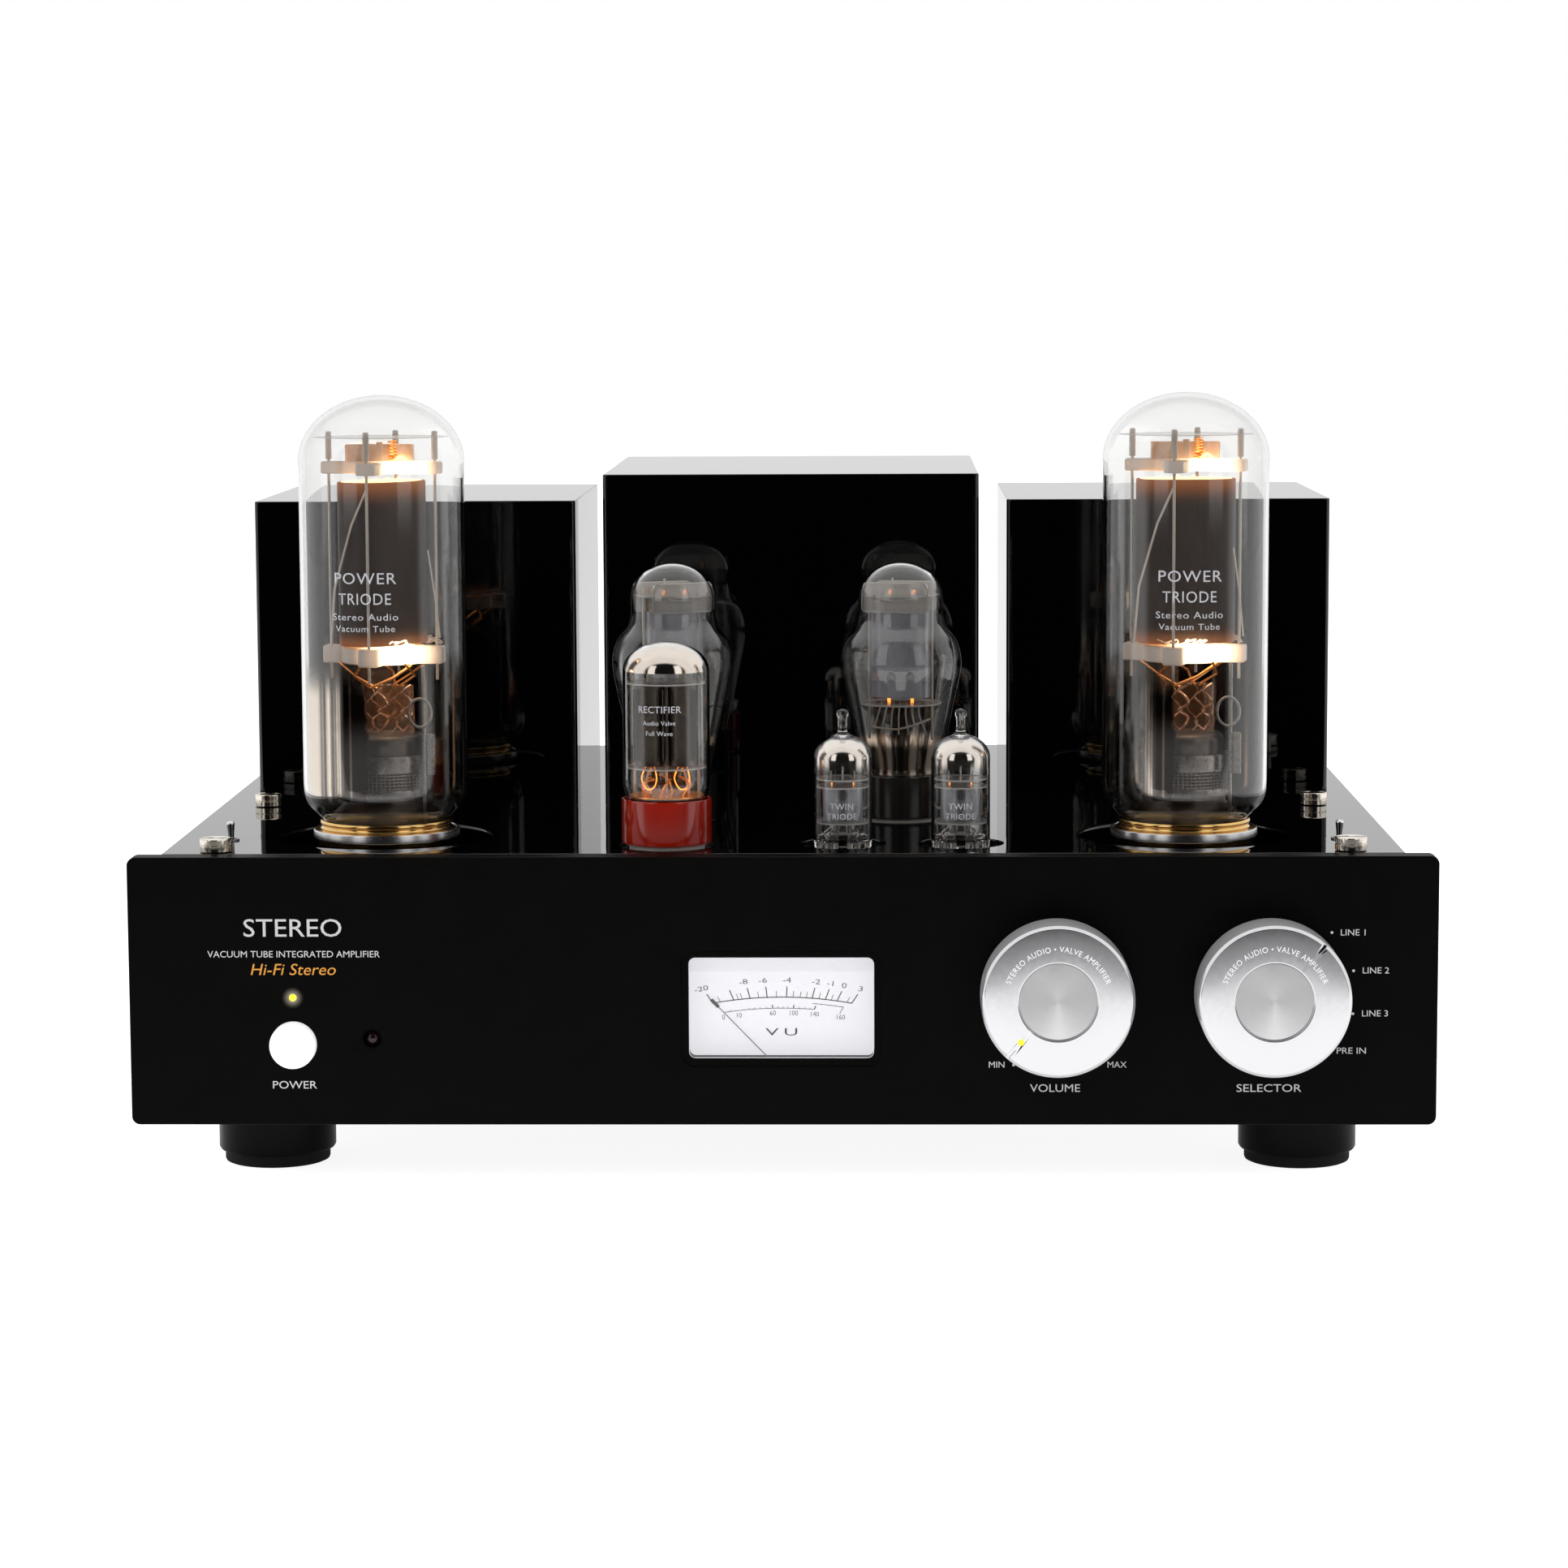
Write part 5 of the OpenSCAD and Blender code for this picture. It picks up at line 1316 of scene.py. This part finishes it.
def make_input_valve(side):
    name = side + "_input_valve"
    piece, top = valve(name)
    anode_xs = (-4.0, 4.0)
    bottom, r = span(name + "_glass")[0][2], 10.65
    nipple = smooth_line([(3.2, 39.4), (2.0, 40.3), (1.65, 42.0), (1.6, 44.3), (1.75, 45.6),
        (2.15, 46.9), (1.7, 48.3), (0, top)], 5)
    wall = [(0, bottom), (r - 1.6, bottom), (r - 0.7, bottom + 0.25), (r - 0.12, bottom + 1.0),
        (r, bottom + 2.0), (r, 14.0), (r, 26.0)]
    crown = [p for p in dome(r, 31.5, 39.6, 16) if p[0] > 3.4]
    inside = [(0, bottom + 3.0), (r - 3.2, bottom + 3.0), (r - 1.2, bottom + 4.2),
        (r - 0.8, bottom + 6.0), (r - 0.8, 26.0)] + dome(r - 0.8, 31.0, 38.4, 16)
    glass = piece("envelope", "small_valve_glass", "valve_glass", replaces="glass", normals=False)
    glass.lathe(wall + crown + nipple, 96)
    outer = len(glass.mesh.faces)
    glass.lathe(inside, 96)
    glass.mesh.faces.ensure_lookup_table()
    inner_faces = glass.mesh.faces[outer:]
    bmesh.ops.recalc_face_normals(glass.mesh, faces=glass.mesh.faces[:outer])
    bmesh.ops.recalc_face_normals(glass.mesh, faces=inner_faces)
    bmesh.ops.reverse_faces(glass.mesh, faces=inner_faces)
    mirror = piece("mirror", "small_mirror")
    mirror.lathe([(r - 0.86, 24.0), (r - 0.86, 28.0)] + dome(r - 0.86, 31.0, 38.3, 16), 96)
    pins = piece("pins", "nickel", replaces="mount")
    for k in range(1, 10):
        a = tau * k / 10
        c, s, _ = around(NOVAL_PINS, a)
        pins.lathe([(0, -8.6), (0.3, -8.5), (0.52, -8.0), (0.52, 1.1), (0, 1.1)], 16, (c, s, 0))
        pins.tube(smooth_line([(c, s, 1.0), (c * 1.15, s * 1.15, 3.4), (c * 0.8, s * 0.8, 5.2),
            (c * 0.7, s * 0.7, 7.6)], 5), 0.28, 8)
    for u in (-4.3, 4.3):
        pins.tube([(u, 0, 7.0), (u, 0, 26.4)], 0.35, 8)
    pins.tube([(0, 0, 22), (0, 0, 28)], 0.4, 8)
    discs = piece("spacers", "mica")
    for z in (23.4, 20.6, 7.6):
        discs.disc(9.2, z, 0.35, notches=20)
    spacer_rims(piece, ((9.5, 23.4), (9.5, 20.6), (9.5, 7.6)))
    anodes = piece("anodes", "driver_anode")
    for u in anode_xs:
        anodes.sleeve(3.3, 4.2, 0.4, [(0, 8.1), (0, 20.4)], 0, 48, u)
    heater = piece("heaters", "heater")
    for u in anode_xs:
        heater.tube([(u, 0, 21.1), (u, 0, 22.0)], 0.3, 8)
    valve_words(piece, r, -0.02, 1.05, (("TWIN", 2.3, 14.4, 1.0), ("TRIODE", 2.2, 10.8, 1.0)))


material("driver_anode", (0.42, 0.42, 0.46), 0.32, 0.30, vary=0.12, scale=900, rough_vary=0.06,
    bump=3e-6, bump_scale=500)
make_rectifier()
for valve_side in SIDES:
    make_driver(valve_side)
    make_input_valve(valve_side)


# ---------------------------------------------------------------- small parts on the deck
def make_trim_cap(side, end, r):
    name = f"{side}_{end}_trim"
    x, d = middle(name + "_cap")[:2]
    h = span(name + "_cap")[1][2]
    cap = Piece(name + "_cap_body", "cap_chrome", name, replaces=[name + "_cap"], weighted=True,
        place=(x, d, 0))
    cap.lathe([(0, 0.2), (r - 0.2, 0.2), (r, 0.4), (r, 2.15), (r - 0.15, 2.3), (r - 0.45, 2.35),
        (r - 0.45, 2.65), (r - 0.15, 2.7), (r, 2.85), (r, h - 0.45), (r - 0.1, h - 0.15),
        (r - 0.4, h), (0, h)], 96)
    body = cap.finish()
    cutter = Piece("cutter", "cap_chrome", name, place=(x, d, 0))
    cutter.box((-r - 1, -0.5, h - 1.0), (r + 1, 0.5, h + 1), 0.1)
    carve(body, cutter.finish())
    spindle = Piece(name + "_spindle", "lever_chrome", name, "shaft_steel", place=(x, d, 0))
    spindle.lathe([(0, -9), (1.3, -9), (1.5, -8.8), (1.5, 0.3), (0, 0.3)], 32)


def make_toggle(side):
    name = side + "_toggle"
    x = middle(name + "_lever")[0]
    lever = Piece(name + "_lever_body", "lever_chrome", name, "button_white", [name + "_lever"],
        place=(x, TOGGLE_D, -2.0))
    lean = Matrix.Rotation(radians(10), 3, "X")
    profile = [(0, -1.95), (1.4, -1.4), (1.95, 0), (1.45, 1.3), (1.05, 2.2), (1.15, 5.0),
        (1.45, 8.0), (1.45, 8.7), (1.1, 9.05), (0, 9.15)]
    lever.lathe(smooth_line(profile, 4), 40)
    lever.mesh.transform(lean.to_4x4())


for part_side in SIDES:
    make_trim_cap(part_side, "front", 5.7)
    make_trim_cap(part_side, "rear", 5.05)
    make_toggle(part_side)


# ---------------------------------------------------------------- feet
def make_feet():
    xs, ds = (-189.2, 189.2), (62.0, 312.0)
    foot_lo, foot_hi = span("feet")
    pad_lo, pad_hi = span("foot_pads")
    feet = Piece("round_feet", "foot_black", "chassis", replaces=["feet"], weighted=True)
    pads = Piece("round_foot_pads", "rubber_black", "chassis", replaces=["foot_pads"],
        weighted=True)
    for x in xs:
        for d in ds:
            feet.lathe([(5, foot_lo[2] + 5), (5, foot_lo[2]), (20.2, foot_lo[2]),
                (21.0, foot_lo[2] + 0.3), (21.6, foot_lo[2] + 1.3), (21.6, foot_hi[2] - 0.4),
                (21.3, foot_hi[2]), (2.1, foot_hi[2]), (2.1, foot_lo[2] + 5)], 112, (x, d, 0),
                closed=True)
            pads.lathe([(5, pad_lo[2]), (18.2, pad_lo[2]), (19.1, pad_lo[2] + 0.4),
                (19.4, pad_lo[2] + 1.1), (19.4, pad_hi[2]), (5, pad_hi[2])], 112, (x, d, 0),
                closed=True)


make_feet()


# ---------------------------------------------------------------- kept CAD nodes
def brushed(name, colour, roughness):
    return material(name, colour, roughness, 1.0, vary=0.08, scale=400, stretch=(1, 14, 1),
        rough_vary=0.08, bump=2e-6, bump_scale=900)


material("lamination", (0.22, 0.22, 0.23), 0.45, 0.8, vary=0.3, scale=500, stretch=(1, 40, 1),
    bump=3e-5)
material("coil_copper", (0.70, 0.26, 0.08), 0.3, 0.9, vary=0.2, scale=500, stretch=(1, 1, 30),
    bump=6e-5)
material("board_green", (0.02, 0.11, 0.045), 0.35, vary=0.25, scale=400, bump=1e-5)
material("capacitor_sleeve", (0.02, 0.035, 0.16), 0.28, vary=0.12, scale=250, bump=6e-6)
material("switch_body", (0.22, 0.14, 0.06), 0.5, vary=0.2, scale=500, bump=1e-5)
material("trim_pot_blue", (0.03, 0.08, 0.38), 0.4, vary=0.1, scale=700, bump=6e-6)
material("black_plastic", (0.014, 0.014, 0.014), 0.38, vary=0.2, scale=600, bump=1.2e-5,
    bump_scale=1300)
material("terminal_red", (0.26, 0.012, 0.008), 0.25, vary=0.0, scale=500, bump=6e-6)
socket_tree, socket_surface = tree_of(LOOKS["terminal_red"])
socket_x, socket_y, _ = object_place(socket_tree)
common = socket_tree.above(socket_tree.size(socket_x), 0.180)
grain = socket_tree.ramp(socket_tree.noise(socket_y, 900.0, 2.0, dimensions="1D"), 0.3, 0.7, 0.75,
    1.15)
socket_tree.feed(socket_surface.inputs["Base Color"], socket_tree.mix(common,
    (0.30, 0.012, 0.008, 1), (0.012, 0.012, 0.012, 1)))
socket_tree.feed(socket_surface.inputs["Roughness"], socket_tree.times(grain, 0.26))
brushed("jack_gold", (0.80, 0.55, 0.22), 0.22)
brushed("plated_steel", (0.58, 0.58, 0.58), 0.3)
brushed("pot_metal", (0.32, 0.32, 0.33), 0.35)

KEPT = {"chassis_frame": "chassis_black", "rear_panel": "chassis_black",
    "bottom_plate": "chassis_black", "foot_screws": "plated_steel",
    "transformer_cores": "lamination", "transformer_coils": "coil_copper",
    "filter_choke": "lamination", "circuit_board": "board_green",
    "filter_capacitors": "capacitor_sleeve", "octal_sockets": "ceramic_white",
    "noval_sockets": "socket_black", "power_switch": "black_plastic",
    "meter_case": "black_plastic", "volume_pot": "pot_metal", "selector_switch": "switch_body",
    "trim_pots": "trim_pot_blue", "toggle_switches": "pot_metal",
    "speaker_sockets": "terminal_red", "input_jacks": "jack_gold", "mains_inlet": "black_plastic",
    "volume_shaft": "plated_steel", "selector_shaft": "plated_steel",}
for kept_node, kept_material in KEPT.items():
    kept_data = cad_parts[kept_node].data
    kept_data.materials.clear()
    kept_data.materials.append(LOOKS[kept_material])

Piece.waiting[-1].finish()
